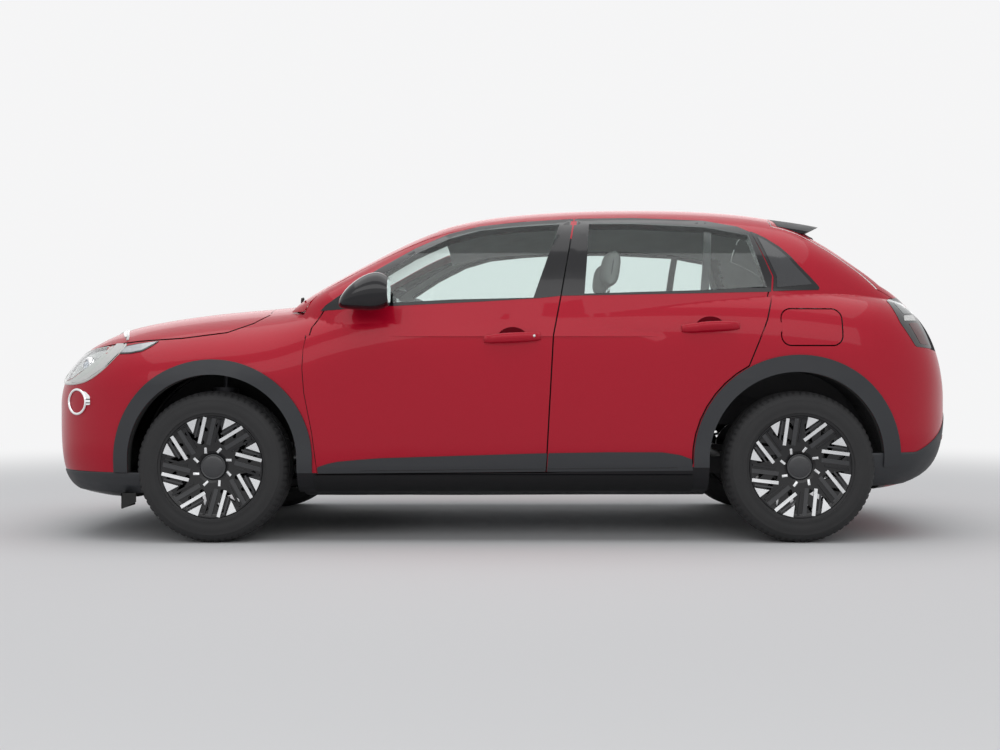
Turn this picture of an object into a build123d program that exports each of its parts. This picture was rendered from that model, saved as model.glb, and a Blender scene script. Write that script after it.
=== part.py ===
from build123d import *
import math
import os

os.makedirs("parts", exist_ok=True)

# ---- driving sizes, mm: front of the car is -X, left side is -Y, ground is Z = 0 ----
front_axle_x = -1247.0
rear_axle_x = 1315.0
hub_z = 331.0
wheel_y = 768.0
gap = 6.0
seat_gap = 0.3
seam = 0.4
tape = 0.8
beyond = 1000.0

# ---- wheels ----
tyre_r = 331.0
tyre_w = 215.0
tread_half = tyre_w / 2 - 46
rim_r = 222.0
rim_half = 95.0
rim_t = 16.0
hub_bore_r = 35.0
stub_clear = 0.05
stub_past = 60.0
disc_r = 142.0
disc_t = 22.0
disc_y = -48.0
slot_count = 8
slot_turn = -28.0

# ---- wheel houses and arches ----
arch_r = 372.0
arch_rear_r = 384.0
arch_rise = 31.0
arch_centre_z = hub_z + arch_rise
arch_band = 66.0
rear_shift = -14.0
rear_band_x = rear_axle_x + rear_shift / 2
rear_band_r = arch_rear_r + arch_band + 8
front_foot_z = 306.0
rear_foot_z = 330.0
front_house_y = 455.0
rear_house_y = 560.0
liner_r = 392.0
liner_rear_r = arch_rear_r + 6
lip_y = 792.0
wall = 8.0
tower_y = 575.0
tower_r = 88.0
tower_base = 700.0
tower_top = 860.0

# ---- body, doors and glass ----
side_half = 862.0
skin_depth = 34.0
rebate = 16.0
seal_space = 6.0
door_inner_y = 583.0
hinge_h = 60.0
front_hinge_z = (540, 840)
rear_hinge_z = (480, 840)
roof_t = 34.0
rail_z = 1460.0
roof_half = 575.0
roof_front_x = -288.0
roof_overlap = 50.0
frame_wall = 46.0
glass_t = 5.0
pane_set = 27.0
proud = 9.0
tail_x = 1236.0
glass_top_x = 1405.0

# ---- front intake, sills, floor, battery and drive ----
intake_back_x = -1998.0
intake_half = 330.0
intake_z0 = 300.0
intake_z1 = 425.0
sill_x0 = -800.0
sill_x1 = 846.0
sill_z0 = 222.0
sill_z1 = 296.0
floor_z = 330.0
floor_t = 30.0
firewall_x = -800.0
firewall_t = 40.0
firewall_top = 1010.0
riser_x = 940.0
riser_t = 40.0
luggage_z = 560.0
load_x0 = 1440.0
load_x1 = 1880.0
load_half = 500.0
load_t = 4.0
battery_x0 = -480.0
battery_x1 = 930.0
battery_half = 610.0
battery_low = 200.0
battery_high = floor_z - floor_t - seat_gap
battery_space = 5.0
subframe_z = 208.3
subframe_t = 54.0
motor_x0 = -1430.0
motor_x1 = -1080.0
motor_half = 330.0
motor_top = 620.0

arm_low = subframe_z + 4
arm_top = 245.7
arm_end_r = 20.0
arm_rise = 10.0

# ---- kingpin: the inclined steering axis, its ball joint in the lower arm ----
pin_y = 690.0
pin_z = 246.0
pin_lean = (pin_y - tower_y) / (tower_top - 2 - pin_z)
ball_r = 11.0
ball_z = 232.0
stud_r = 7.0

# ---- charge flap on the left rear quarter ----
flap_x = 1365.0
flap_z = 941.0
flap_w = 268.0
flap_h = 162.0
flap_r = 44.0
flap_t = 14.0
flap_pocket = 40.0

# ---- body sections: x, half width, bottom, waist, top, then four corner exponents ----
LOWER = [
    (-2083, 190, 500, 555, 610, 3.0, 2.2, 3.0, 2.2),
    (-2072, 300, 440, 560, 680, 3.0, 2.2, 3.5, 2.5),
    (-2050, 430, 330, 570, 745, 3.0, 2.2, 4.0, 3.0),
    (-2010, 560, 235, 590, 805, 3.0, 2.2, 5.0, 4.0),
    (-1940, 672, 195, 620, 868, 3.0, 2.1, 6.0, 5.0),
    (-1830, 764, 182, 650, 926, 3.1, 2.0, 7.0, 6.0),
    (-1680, 830, 176, 675, 974, 3.2, 2.0, 8.0, 8.0),
    (-1480, 867, 180, 690, 1009, 3.2, 2.0, 8.0, 10.0),
    (-1245, 878, 185, 700, 1037, 3.2, 2.0, 8.0, 12.0),
    (-1000, 874, 188, 700, 1056, 3.6, 2.2, 8.0, 12.0),
    (-780, 868, 188, 700, 1078, 4.8, 3.0, 8.0, 12.0),
    (-500, 864, 188, 700, 1108, 6.4, 4.0, 8.0, 12.0),
    (0, 862, 188, 705, 1130, 7.2, 4.5, 8.0, 12.0),
    (600, 864, 190, 710, 1145, 7.2, 4.5, 8.0, 12.0),
    (1000, 870, 192, 715, 1155, 7.0, 4.2, 8.0, 12.0),
    (1314, 876, 196, 720, 1155, 6.0, 3.8, 8.0, 10.0),
    (1600, 858, 205, 720, 1140, 5.0, 3.4, 8.0, 8.0),
    (1800, 800, 222, 700, 1105, 4.5, 3.0, 7.0, 6.0),
    (1920, 722, 255, 670, 1035, 4.2, 2.8, 6.0, 5.0),
    (2000, 620, 300, 640, 930, 4.0, 2.6, 5.0, 4.0),
    (2050, 500, 365, 600, 800, 3.6, 2.4, 4.0, 3.0),
    (2076, 350, 430, 560, 680, 3.2, 2.2, 3.5, 2.5),
    (2084, 220, 480, 550, 610, 3.0, 2.2, 3.0, 2.2),
]
# ---- cabin sections: x, half width at the belt base, roof height ----
UPPER = [
    (-1090, 420, 985), (-1040, 540, 1015), (-960, 655, 1062), (-870, 745, 1114), (-785, 806, 1163),
    (-640, 845, 1248), (-450, 858, 1357), (-309, 862, 1424), (-200, 863, 1459), (-50, 865, 1489),
    (150, 866, 1511), (400, 866, 1525), (650, 864, 1529), (900, 858, 1524), (1100, 848, 1510),
    (1250, 830, 1490), (1340, 815, 1466), (1420, 798, 1425), (1500, 775, 1378), (1600, 740, 1310),
    (1700, 698, 1238), (1800, 640, 1160), (1870, 575, 1102), (1930, 480, 1050),
]
belt_base_z = 900.0
tumble = 0.264
SIDE = Plane.XZ


def evenly(points, count):
    """The same curve again, as points at equal shares of its length."""
    marks = [0.0]
    for p, q in zip(points, points[1:]):
        marks.append(marks[-1] + math.dist(p, q))
    result = []
    k = 0
    for i in range(count + 1):
        want = marks[-1] * i / count
        while k < len(points) - 2 and marks[k + 1] < want:
            k += 1
        share = (want - marks[k]) / (marks[k + 1] - marks[k])
        result.append(tuple(p + (q - p) * share for p, q in zip(points[k], points[k + 1])))
    return result


def smooth_edge(points):
    """A spline with evenly spaced knots, so that all the sections of a loft share them."""
    count = len(points) - 1
    return Edge.make_spline([Vector(*p) for p in points], parameters=[i / count for i in range(count + 1)])


def lower_section(x, w, bottom, waist, top, a, b, c, d, count=18):
    """A body section of two quarter-turn curves, above and below the waist."""
    turn = [i * math.pi / 160 for i in range(80)]
    up = [(w * math.cos(t) ** (2 / a), waist + (top - waist) * math.sin(t) ** (2 / b)) for t in turn]
    down = [(w * math.cos(t) ** (2 / c), waist - (waist - bottom) * math.sin(t) ** (2 / d)) for t in turn]
    up += [(0, top)] + [(-y, z) for y, z in reversed(up)]
    down += [(0, bottom)] + [(-y, z) for y, z in reversed(down)]
    with BuildSketch(Plane(origin=(x, 0, 0), x_dir=(0, 1, 0), z_dir=(1, 0, 0))) as section:
        with BuildLine():
            add(smooth_edge(evenly(up, count)))
            add(smooth_edge(evenly(down, count)[::-1]))
        make_face()
    return section.sketch


def upper_section(x, half, roof, base=belt_base_z, count=18):
    """A cabin section: straight leaning sides that turn into the crowned roof."""
    turn = [i * math.pi / 160 for i in range(80)]
    zs = [base + (roof - base) * math.sin(t) ** (2 / 7) for t in turn]
    pts = [((half - tumble * (z - base)) * math.cos(t) ** 0.8, z) for z, t in zip(zs, turn)]
    pts += [(0, roof)] + [(-y, z) for y, z in reversed(pts)]
    with BuildSketch(Plane(origin=(x, 0, 0), x_dir=(0, 1, 0), z_dir=(1, 0, 0))) as section:
        with BuildLine():
            add(smooth_edge(evenly(pts, count)))
            Line((-half, base), (half, base))
        make_face()
    return section.sketch


def mirrored(shape):
    with BuildPart() as pair:
        add(shape)
        mirror(about=Plane.XZ)
    return pair.part


def cut(shape, *tools):
    with BuildPart() as result:
        add(shape, clean=False)
        add(tools, mode=Mode.SUBTRACT, clean=False)
    return result.part


def common(shape, *tools):
    with BuildPart() as result:
        add(shape, clean=False)
        for tool in tools:
            add(tool, mode=Mode.INTERSECT, clean=False)
    return result.part


def block(x0, x1, y0, y1, z0, z1, r=0.0):
    with BuildPart() as b:
        with BuildSketch(Plane.XY.offset(z0)):
            with Locations(((x0 + x1) / 2, (y0 + y1) / 2)):
                Rectangle(x1 - x0, y1 - y0)
        extrude(amount=z1 - z0)
        if r:
            fillet(b.edges(), r)
    return b.part


def save(shape, name):
    shape.label = name
    export_step(shape, "parts/" + name + ".step")


# ---- the whole outer form and the hollow inside it ----
with BuildPart() as outer_low:
    for row in LOWER:
        add(lower_section(*row))
    loft()
with BuildPart() as outer_top:
    for row in UPPER:
        add(upper_section(*row))
    loft()
with BuildPart() as outer:
    add(outer_low.part)
    add(outer_top.part)

INNER_LOW = [
    (-1990, 440, 380, 600, 720), (-1900, 590, 300, 640, 860), (-1680, 760, 210, 675, 938),
    (-1480, 806, 208, 690, 975),
    (-1245, 818, 208, 700, 1003), (-1000, 800, 208, 700, 1024), (-780, 773, 208, 700, 1044),
    (0, 767, 208, 705, 1096), (1000, 775, 214, 715, 1118), (1314, 800, 218, 720, 1118),
    (1600, 790, 228, 720, 1100), (1780, 730, 245, 700, 1064), (1900, 640, 290, 670, 960),
    (1985, 500, 380, 640, 830),
]
with BuildPart() as hollow_low:
    for x, w, bottom, waist, top in INNER_LOW:
        add(lower_section(x, w, bottom, waist, top, 4.5, 2.6, 8, 9, 10))
    loft()
with BuildPart() as hollow_top:
    for x, half, roof in UPPER[3:24:2]:
        lean = 34 if x < -320 else (-34 if x > 1300 else 0)
        add(upper_section(x + lean, half - frame_wall, roof - roof_t, belt_base_z - 20, 10))
    loft()
with BuildPart() as hollow:
    add(hollow_low.part)
    add(hollow_top.part)


def wheel_house(x, inner_y, radius, lip_y, lip_r, shift=0.0):
    """Wheel space: a wide liner inboard of the lip and the visible arch outboard of it."""
    with BuildPart() as house:
        for near, far, r in ((inner_y, lip_y, radius), (lip_y, beyond, lip_r)):
            with BuildSketch(SIDE.offset(near)):
                with Locations((x + shift, arch_centre_z)):
                    Circle(r)
                with Locations((x + shift, 0)):
                    Rectangle(2 * r, 2 * arch_centre_z)
            extrude(amount=far - near)
        mirror(about=Plane.XZ)
    return house.part


def strut_tower(r, high):
    with BuildPart() as tower:
        with BuildSketch(Plane.XY.offset(tower_base)):
            with Locations((front_axle_x, tower_y), (front_axle_x, -tower_y)):
                Circle(r)
        extrude(amount=high - tower_base)
    return tower.part


front_house = wheel_house(front_axle_x, front_house_y, liner_r, lip_y, arch_r)
rear_house = wheel_house(rear_axle_x, rear_house_y, liner_rear_r, lip_y, arch_rear_r, rear_shift)
with BuildPart() as houses:
    add(front_house)
    add(rear_house)
    add(strut_tower(tower_r, tower_top))
with BuildPart() as house_walls:
    add(wheel_house(front_axle_x, front_house_y - wall, liner_r + wall, lip_y, liner_r))
    add(wheel_house(rear_axle_x, rear_house_y - wall, liner_rear_r + wall, lip_y, arch_rear_r, rear_shift))
    add(strut_tower(tower_r + wall, tower_top + wall))

skin = cut(outer.part, hollow.part, houses.part)

# ---- shut-lines in the side view (x, z) ----
front_door = [(-789, 300), (-813, 480), (-847, 654), (-855, 760), (-853, 850), (-837, 945), (-793, 1012),
              (-768, 1052), (-682, 1110), (-552, 1206), (-377, 1312), (-225, 1384), (-88, 1420),
              (100, 1442), (342, 1458), (273, 1077), (240, 906), (207, 308)]
door_arc = [(rear_band_x - (rear_band_r + gap) * math.cos(math.radians(a)),
             arch_centre_z + (rear_band_r + gap) * math.sin(math.radians(a))) for a in range(62, -7, -8)]
rear_door = [(207, 308), (240, 906), (273, 1077), (342, 1458), (597, 1460), (921, 1446), (1082, 1414),
             (1136, 1384), (1213, 1170), (1205, 1096), (1171, 971), (1124, 854)] + door_arc
bonnet_line = [(-2100, 800), (-1957, 836), (-1762, 868), (-1600, 886), (-1400, 898), (-1210, 923),
               (-1104, 966), (-1030, 1020), (-1000, 1100), (-2100, 1100)]


def outline_prism(points, by, near, far):
    with BuildPart() as p:
        with BuildSketch(SIDE.offset(near)):
            with BuildLine():
                Polyline(*points, close=True)
            make_face()
            if by:
                offset(amount=by, kind=Kind.INTERSECTION)
        extrude(amount=far - near, dir=(0, -1, 0))
    return p.part


def deeper_than(depth):
    """What lies deeper than the given depth behind the side's main faces."""
    knee = belt_base_z + 60
    face = side_half - depth
    with BuildPart() as inner:
        with BuildSketch(Plane.YZ.offset(-1200)):
            with BuildLine():
                Polyline((0, 0), (face, 0), (face, knee), (face - tumble * (rail_z - knee), rail_z),
                         (0, rail_z), close=True)
            make_face()
            mirror(about=Plane.YZ)
        extrude(amount=2900)
    return inner.part


deep = deeper_than(skin_depth)


flange = deeper_than(skin_depth + seal_space)


def door_solid(points):
    """A leaf whose outer lip overlaps the body's flange, and whose thick middle fits inside it."""
    face = outline_prism(points, -gap / 2, door_inner_y, beyond)
    step = outline_prism(points, -gap / 2 - rebate, door_inner_y, beyond)
    return cut(common(skin, face), cut(common(deep, face), step))


def door_space(points, grow):
    face = outline_prism(points, grow, door_inner_y - wall, beyond)
    step = outline_prism(points, grow - rebate, door_inner_y - wall, beyond)
    return cut(face, cut(common(flange, face), step))


def door_hole(points, x, heights):
    """The door's space in the body, less the hinge lugs that reach to a running fit at its front face."""
    lugs = [block(x - 30, x + 40, -824, -790, z - hinge_h / 2, z + hinge_h / 2) for z in heights]
    return cut(door_space(points, gap / 2), cut(Compound(lugs), door_space(points, seat_gap - gap / 2)))


front_glass = [(-520, 1172), (-377, 1267), (-225, 1342), (-88, 1382), (90, 1400), (272, 1411),
               (174, 1072), (-200, 1062), (-500, 1046)]
rear_glass = [(403, 1412), (600, 1412), (920, 1396), (1111, 1358), (1180, 1122), (886, 1104), (376, 1088)]

# ---- doors: a leaf as thick as the wall, its window cut, and the pane that fills it ----
def pane(points, grow):
    """Glass that follows the frame a little way behind its outer face, over an outline in the side view."""
    return cut(common(pane_band, outline_prism(points, grow, 0, beyond)), deeper_than(pane_set + glass_t))


pane_band = deeper_than(pane_set)
front_leaf = cut(door_solid(front_door), outline_prism(front_glass, 0, 0, beyond))
rear_leaf = cut(door_solid(rear_door), outline_prism(rear_glass, 0, 0, beyond))
front_pane = pane(front_glass, -seam)
rear_pane = pane(rear_glass, -seam)
for tag, leaf, glass in (("front", front_leaf, front_pane), ("rear", rear_leaf, rear_pane)):
    save(leaf, "door_" + tag + "_left")
    save(mirror(leaf, about=Plane.XZ), "door_" + tag + "_right")
    save(glass, "door_glass_" + tag + "_left")
    save(mirror(glass, about=Plane.XZ), "door_glass_" + tag + "_right")

# ---- outlines of the fixed outer panels ----
bumper_front = [(-2200, 100), (-1690, 100), (-1640, 300), (-1690, 400), (-1720, 560), (-1840, 640),
                (-1930, 735), (-1985, 790), (-1985, 870), (-2200, 870)]
bumper_rear = [(2200, 100), (1700, 100), (1745, 330), (1775, 450), (1770, 560), (1830, 640), (2200, 640)]
fender_side = [(-1720, 560), (-1840, 640), (-1930, 735), (-1985, 790), (-1962, 833), (-1762, 865),
               (-1600, 883), (-1400, 895), (-1210, 920), (-1104, 962), (-1030, 1012), (-1062, 1012),
               (-960, 1060), (-793, 1012), (-837, 945), (-853, 850), (-855, 760), (-847, 654), (-813, 480),
               (-789, 300), (-850, 240), (-1640, 300), (-1690, 400)]

# ---- regions that cut the fixed outer panels out of the skin ----
def ahead_of_cowl(back):
    """Everything ahead of the bonnet's curved rear edge."""
    with BuildPart() as ahead:
        with BuildSketch(Plane.XY.offset(700)):
            with BuildLine():
                ThreePointArc((-1005 + back, -900), (-1080 + back, 0), (-1005 + back, 900))
                Polyline((-1005 + back, 900), (-2300, 900), (-2300, -900), (-1005 + back, -900))
            make_face()
        extrude(amount=600)
    return ahead.part


def across(points, grow):
    """An outline in the side view taken across the whole width."""
    with BuildPart() as p:
        with BuildSketch(SIDE.offset(-1000)):
            with BuildLine():
                Polyline(*points, close=True)
            make_face()
            if grow:
                offset(amount=grow, kind=Kind.INTERSECTION)
        extrude(amount=2000, dir=(0, -1, 0))
    return p.part


def from_front(points, x0, x1, grow=0.0):
    """An outline in the front view (y, z), mirrored, between two stations."""
    with BuildPart() as p:
        with BuildSketch(Plane.YZ.offset(x0)):
            with BuildLine():
                Polyline(*points, close=True)
            make_face()
            mirror(about=Plane.YZ)
            if grow:
                offset(amount=grow, kind=Kind.INTERSECTION)
        extrude(amount=x1 - x0)
    return p.part


screen_view = [(0, 960), (725, 960), (600, 1436), (0, 1436)]
tail_view = [(0, 640), (520, 640), (552, 690), (560, 850), (576, 1075), (618, 1120), (598, 1330), (578, 1560),
             (0, 1560)]
tail_glass_view = [(0, 1085), (520, 1100), (575, 1140), (548, 1370), (0, 1380)]
lamp_side = [(-2100, 832), (-1957, 830), (-1766, 860), (-1758, 828), (-1837, 766), (-1921, 718),
             (-1988, 702), (-2100, 702)]
tail_lamp_side = [(1770, 1082), (1820, 1086), (1865, 1052), (1900, 985), (2000, 985), (2000, 838),
                  (1941, 846), (1906, 868)]

screen_cut = cut(from_front(screen_view, -1200, roof_front_x - 5 * seam), outer_low.part)
tail_cut = from_front(tail_view, tail_x, 2300)
bonnet_zone = common(across(bonnet_line, 0), ahead_of_cowl(0))
bonnet_hole = common(across(bonnet_line, gap), ahead_of_cowl(gap))
bonnet_lugs = mirrored(block(-1100, -980, -600, -560, 960, 1040))
bonnet_space = cut(bonnet_hole, cut(bonnet_lugs, ahead_of_cowl(seat_gap)))
gate_lugs = mirrored(block(tail_x, tail_x + gap - seat_gap, -480, -420, 1400, 1484))
gate_space = cut(tail_cut, gate_lugs)
lamp_zone = common(across(lamp_side, 0), mirrored(block(-2100, -1600, -820, -400, 600, 900)))
tail_lamp_zone = common(across(tail_lamp_side, 0), mirrored(block(1700, 2100, -900, -500, 800, 1100)))
roof_zone = block(roof_front_x, tail_x - roof_overlap, -roof_half, roof_half, 1400, 1700)
nose_block = block(-2200, -1820, -560, 560, 700, 870)
with BuildPart() as front_part:
    add(across(bumper_front, 0))
    add(nose_block)
front_zone = front_part.part
rear_zone = across(bumper_rear, 0)
fender_zone = cut(across(fender_side, 0), block(-2300, 0, -500, 500, 0, 1700),
                  block(-905, 0, -832, 832, 0, 1700))


bonnet = common(skin, bonnet_zone)
save(bonnet, "bonnet")
headlamps = cut(common(skin, lamp_zone), bonnet_hole)
save(headlamps, "headlamps")
intake = block(-2200, intake_back_x, -intake_half, intake_half, intake_z0, intake_z1)
front_bumper = cut(common(skin, front_zone), lamp_zone, bonnet_hole, intake)
save(front_bumper, "front_bumper")
fenders = cut(common(skin, fender_zone), front_zone, lamp_zone, bonnet_hole, screen_cut)
save(fenders, "front_fenders")
rear_bumper = common(skin, rear_zone)
save(rear_bumper, "rear_bumper")
roof = common(skin, roof_zone)
save(roof, "roof_panel")
tail_lamps = cut(common(skin, tail_lamp_zone), rear_zone, tail_cut)
save(tail_lamps, "tail_lamps")

# ---- tailgate, its glass and the spoiler over it ----
gate_skin = common(skin, from_front(tail_view, tail_x + gap, 2300, -gap))
gate_glass_hole = from_front(tail_glass_view, glass_top_x, 2300)
with BuildPart() as glass_outer:
    for x, half, roof_z in UPPER:
        if x > 1000:
            add(upper_section(x - 7, half - 6, roof_z - 6))
    loft()
with BuildPart() as glass_inner:
    for x, half, roof_z in UPPER:
        if x > 1000:
            add(upper_section(x - 12, half - 11, roof_z - 11))
    loft()
gate = cut(gate_skin, rear_zone, gate_glass_hole)
save(gate, "tailgate")
gate_glass_zone = from_front(tail_glass_view, glass_top_x + 10, 2300, -seam)
gate_glass = cut(common(glass_outer.part, gate_glass_zone), glass_inner.part)
save(gate_glass, "tailgate_glass")

SPOILER = [(1190, 838, 1499), (1242, 831, 1491), (1330, 818, 1480), (1420, 804, 1467), (1500, 790, 1452)]
with BuildPart() as spoiler_form:
    for x, half, roof_z in SPOILER:
        add(upper_section(x, half, roof_z))
    loft()
spoiler_edge = [(tail_x + gap, 1600), (tail_x + gap, 1380), (1392, 1380), (1496, 1428), (1496, 1600)]
spoiler_seat = outer_top.part.moved(Location((0, 0, tape)))
spoiler = cut(common(spoiler_form.part, across(spoiler_edge, 0), block(1200, 1600, -572, 572, 1300, 1600)),
              spoiler_seat)
save(spoiler.solids().sort_by(SortBy.VOLUME)[-1], "spoiler")

# ---- windscreen ----
with BuildPart() as screen_outer:
    for x, half, roof_z in UPPER:
        if x < 400:
            add(upper_section(x + 7, half - 6, roof_z - 4))
    loft()
with BuildPart() as screen_inner:
    for x, half, roof_z in UPPER:
        if x < 400:
            add(upper_section(x + 13, half - 12, roof_z - 9))
    loft()
screen_fit = from_front([(0, 960), (725 - seam, 960), (600 - seam, 1436), (0, 1436)], -1200,
                        roof_front_x - 10 * seam)
windscreen = cut(common(screen_outer.part, screen_fit), screen_inner.part, outer_low.part)
save(windscreen, "windscreen")

# ---- dark cladding that stands proud of the skin: arches and sills ----
def wider_form(by):
    """The lower form, standing out by a distance on both sides."""
    return scale(outer_low.part, by=(1, 1 + by / LOWER[9][1], 1))


proud_form = wider_form(proud)
tape_form = wider_form(tape)


def arch_band_prism(x, radius, foot):
    """The disc of an arch's outer edge and its straight feet, in the side view."""
    with BuildPart() as band:
        with BuildSketch(SIDE.offset(700)):
            with Locations((x, arch_centre_z)):
                Circle(radius)
            with Locations((x, (arch_centre_z + foot) / 2)):
                Rectangle(2 * radius, arch_centre_z - foot)
            with Locations((x, foot - radius)):
                Rectangle(2 * radius + 2, 2 * radius, mode=Mode.SUBTRACT)
        extrude(amount=300, dir=(0, -1, 0))
    return band.part


def on_skin(zone):
    """The layer that stands proud of the skin inside a zone."""
    return cut(common(proud_form, zone), tape_form)


front_band = cut(on_skin(arch_band_prism(front_axle_x, arch_r + arch_band, front_foot_z)), front_house)
rear_band = cut(on_skin(arch_band_prism(rear_band_x, rear_band_r, rear_foot_z)), rear_house)
arch_pair = mirrored(Compound([front_band, rear_band]))
save(arch_pair, "arch_cladding")
sill_pair = mirrored(on_skin(block(sill_x0, sill_x1, -beyond, -700, sill_z0, sill_z1)))
save(sill_pair, "sill_cladding")

# ---- charge flap on the left rear quarter ----


def flap_prism(grow, near, far):
    with BuildPart() as p:
        with BuildSketch(SIDE.offset(near)):
            with Locations((flap_x, flap_z)):
                RectangleRounded(flap_w + 2 * grow, flap_h + 2 * grow, flap_r + grow)
        extrude(amount=far - near)
    return p.part


charge_flap = cut(common(outer_low.part, flap_prism(-gap / 2, 700, beyond)), wider_form(-flap_t))
save(charge_flap, "charge_flap")
flap_lug = block(flap_x - flap_w / 2 - 10, flap_x - flap_w / 2 + gap / 2 - seat_gap, -866, -850,
                 flap_z - 20, flap_z + 20)
flap_floor = common(flap_prism(gap / 2, 700, beyond), wider_form(-flap_t - flap_pocket))
flap_hole = cut(flap_prism(gap / 2, 700, beyond), flap_floor, flap_lug)

# ---- body shell: what is left of the skin, with floor, bulkhead, wheel houses and luggage floor ----
door_gaps = mirrored(door_hole(front_door, front_door[3][0] + rebate, front_hinge_z))
door_gaps_rear = mirrored(door_hole(rear_door, rear_door[0][0] + rebate, rear_hinge_z))
axle_space = block(riser_x + 1, rear_axle_x + 325, -700, 700, 100, luggage_z - 55)
battery_bay = block(battery_x0 - battery_space, battery_x1 + battery_space, -battery_half - battery_space,
                    battery_half + battery_space, 100, floor_z - floor_t)
subframe_seat = block(front_axle_x - 200, front_axle_x + 340, -front_house_y, front_house_y,
                      subframe_z - seat_gap, subframe_z + subframe_t)
arm_ports = mirrored(block(front_axle_x - 150, front_axle_x + 340, front_house_y - 20, front_house_y + 5,
                           209, 420))
with BuildPart() as inner_walls:
    add(block(firewall_x, 900, -900, 900, floor_z - floor_t, floor_z))
    add(block(firewall_x, firewall_x + firewall_t, -900, 900, floor_z - floor_t, firewall_top))
    add(block(riser_x - riser_t, riser_x, -900, 900, floor_z - floor_t, luggage_z))
    add(block(900, 1960, -900, 900, luggage_z - 30, luggage_z))
    add(block(load_x0, load_x1, -load_half, load_half, luggage_z, luggage_z + load_t))
    add(house_walls.part)
    add(arm_ports, mode=Mode.SUBTRACT)
voids = cut(hollow.part, inner_walls.part)
shell = cut(outer.part, voids, houses.part)
shell = cut(shell, bonnet_space, front_zone, lamp_zone, fender_zone, rear_zone, roof_zone, gate_space,
            tail_lamp_zone, screen_cut)
shell = cut(shell, door_gaps, door_gaps_rear, flap_hole, battery_bay, axle_space, subframe_seat)
with BuildPart() as body_shell:
    add(shell.solids().sort_by(SortBy.VOLUME)[-1], clean=False)


save(body_shell.part, "body_shell")

with BuildPart() as battery:
    with BuildSketch(Plane.XY.offset(battery_low)):
        with Locations(((battery_x0 + battery_x1) / 2, 0)):
            RectangleRounded(battery_x1 - battery_x0, 2 * battery_half, 60)
    extrude(amount=battery_high - battery_low)
save(battery.part, "battery_pack")
with BuildPart() as motor:
    add(block(motor_x0, motor_x1, -motor_half, motor_half, subframe_z + subframe_t + seat_gap, motor_top))
    fillet(motor.edges().filter_by(Axis.Y), 50)
save(motor.part, "drive_motor")

# ---- wheels: tyre, and rim with cover, hub and disc, made at the origin about the Y axis ----
with BuildPart() as tyre:
    with BuildSketch(Plane.XY):
        with BuildLine():
            Spline((rim_r - 6, tyre_w / 2 - 12), (rim_r + 14, tyre_w / 2 - 3), (rim_r + 50, tyre_w / 2),
                   (rim_r + 86, tyre_w / 2 - 8), (tyre_r - 8, tyre_w / 2 - 24), (tyre_r, tread_half))
            Line((tyre_r, tread_half), (tyre_r, -tread_half))
            Spline((tyre_r, -tread_half), (tyre_r - 8, -tyre_w / 2 + 24), (rim_r + 86, -tyre_w / 2 + 8),
                   (rim_r + 50, -tyre_w / 2), (rim_r + 14, -tyre_w / 2 + 3), (rim_r - 6, -tyre_w / 2 + 12))
            Line((rim_r - 6, -tyre_w / 2 + 12), (rim_r - 6, tyre_w / 2 - 12))
        make_face()
    revolve(axis=Axis.Y)
with BuildPart() as rim:
    with BuildSketch(Plane.XY):
        with BuildLine():
            Polyline((hub_bore_r, 62), (55, 66), (70, 78), (150, 84), (205, 88), (rim_r - 6, rim_half),
                     (rim_r - 6, -rim_half), (rim_r - 6 - rim_t, -rim_half), (rim_r - 6 - rim_t, 60),
                     (150, 60),
                     (92, 40), (80, 38), (80, disc_y + disc_t), (disc_r, disc_y + disc_t), (disc_r, disc_y),
                     (66, disc_y), (66, 20), (hub_bore_r, 20), close=True)
        make_face()
    revolve(axis=Axis.Y)
    with BuildSketch(SIDE.offset(-100)):
        with PolarLocations(148, slot_count, start_angle=104):
            SlotOverall(96, 20, rotation=slot_turn)
        with PolarLocations(180, slot_count, start_angle=78):
            SlotOverall(52, 14, rotation=slot_turn)
    extrude(amount=50, mode=Mode.SUBTRACT)
for tag, x, side in (("front_left", front_axle_x, -1), ("front_right", front_axle_x, 1),
                     ("rear_left", rear_axle_x, -1), ("rear_right", rear_axle_x, 1)):
    turn = 180 if side < 0 else 0
    place = Location((x, side * wheel_y, hub_z), (0, 0, turn))
    save(tyre.part.moved(place), "tyre_" + tag)
    save(rim.part.moved(place), "wheel_" + tag)

# ---- front knuckles: carrier, stub axle, caliper and strut ----


def rod(x, a, b, r):
    """A round bar at one station between two points given as (y, z)."""
    length = math.hypot(b[0] - a[0], b[1] - a[1])
    with BuildPart() as bar:
        with BuildSketch(Plane(origin=(x, a[0], a[1]), z_dir=(0, b[0] - a[0], b[1] - a[1]))):
            Circle(r)
        extrude(amount=length)
    return bar.part


def on_kingpin(z):
    """The steering axis at a height, as (y, z) on the right side."""
    return (pin_y - pin_lean * (z - pin_z), z)


def ball_joint(ball, stud, top):
    """A ball on the steering axis with the stud that rises from it."""
    with BuildPart() as joint:
        with Locations((front_axle_x, *on_kingpin(ball_z))):
            Sphere(ball)
        add(rod(front_axle_x, on_kingpin(ball_z), on_kingpin(top), stud))
    return joint.part


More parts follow.
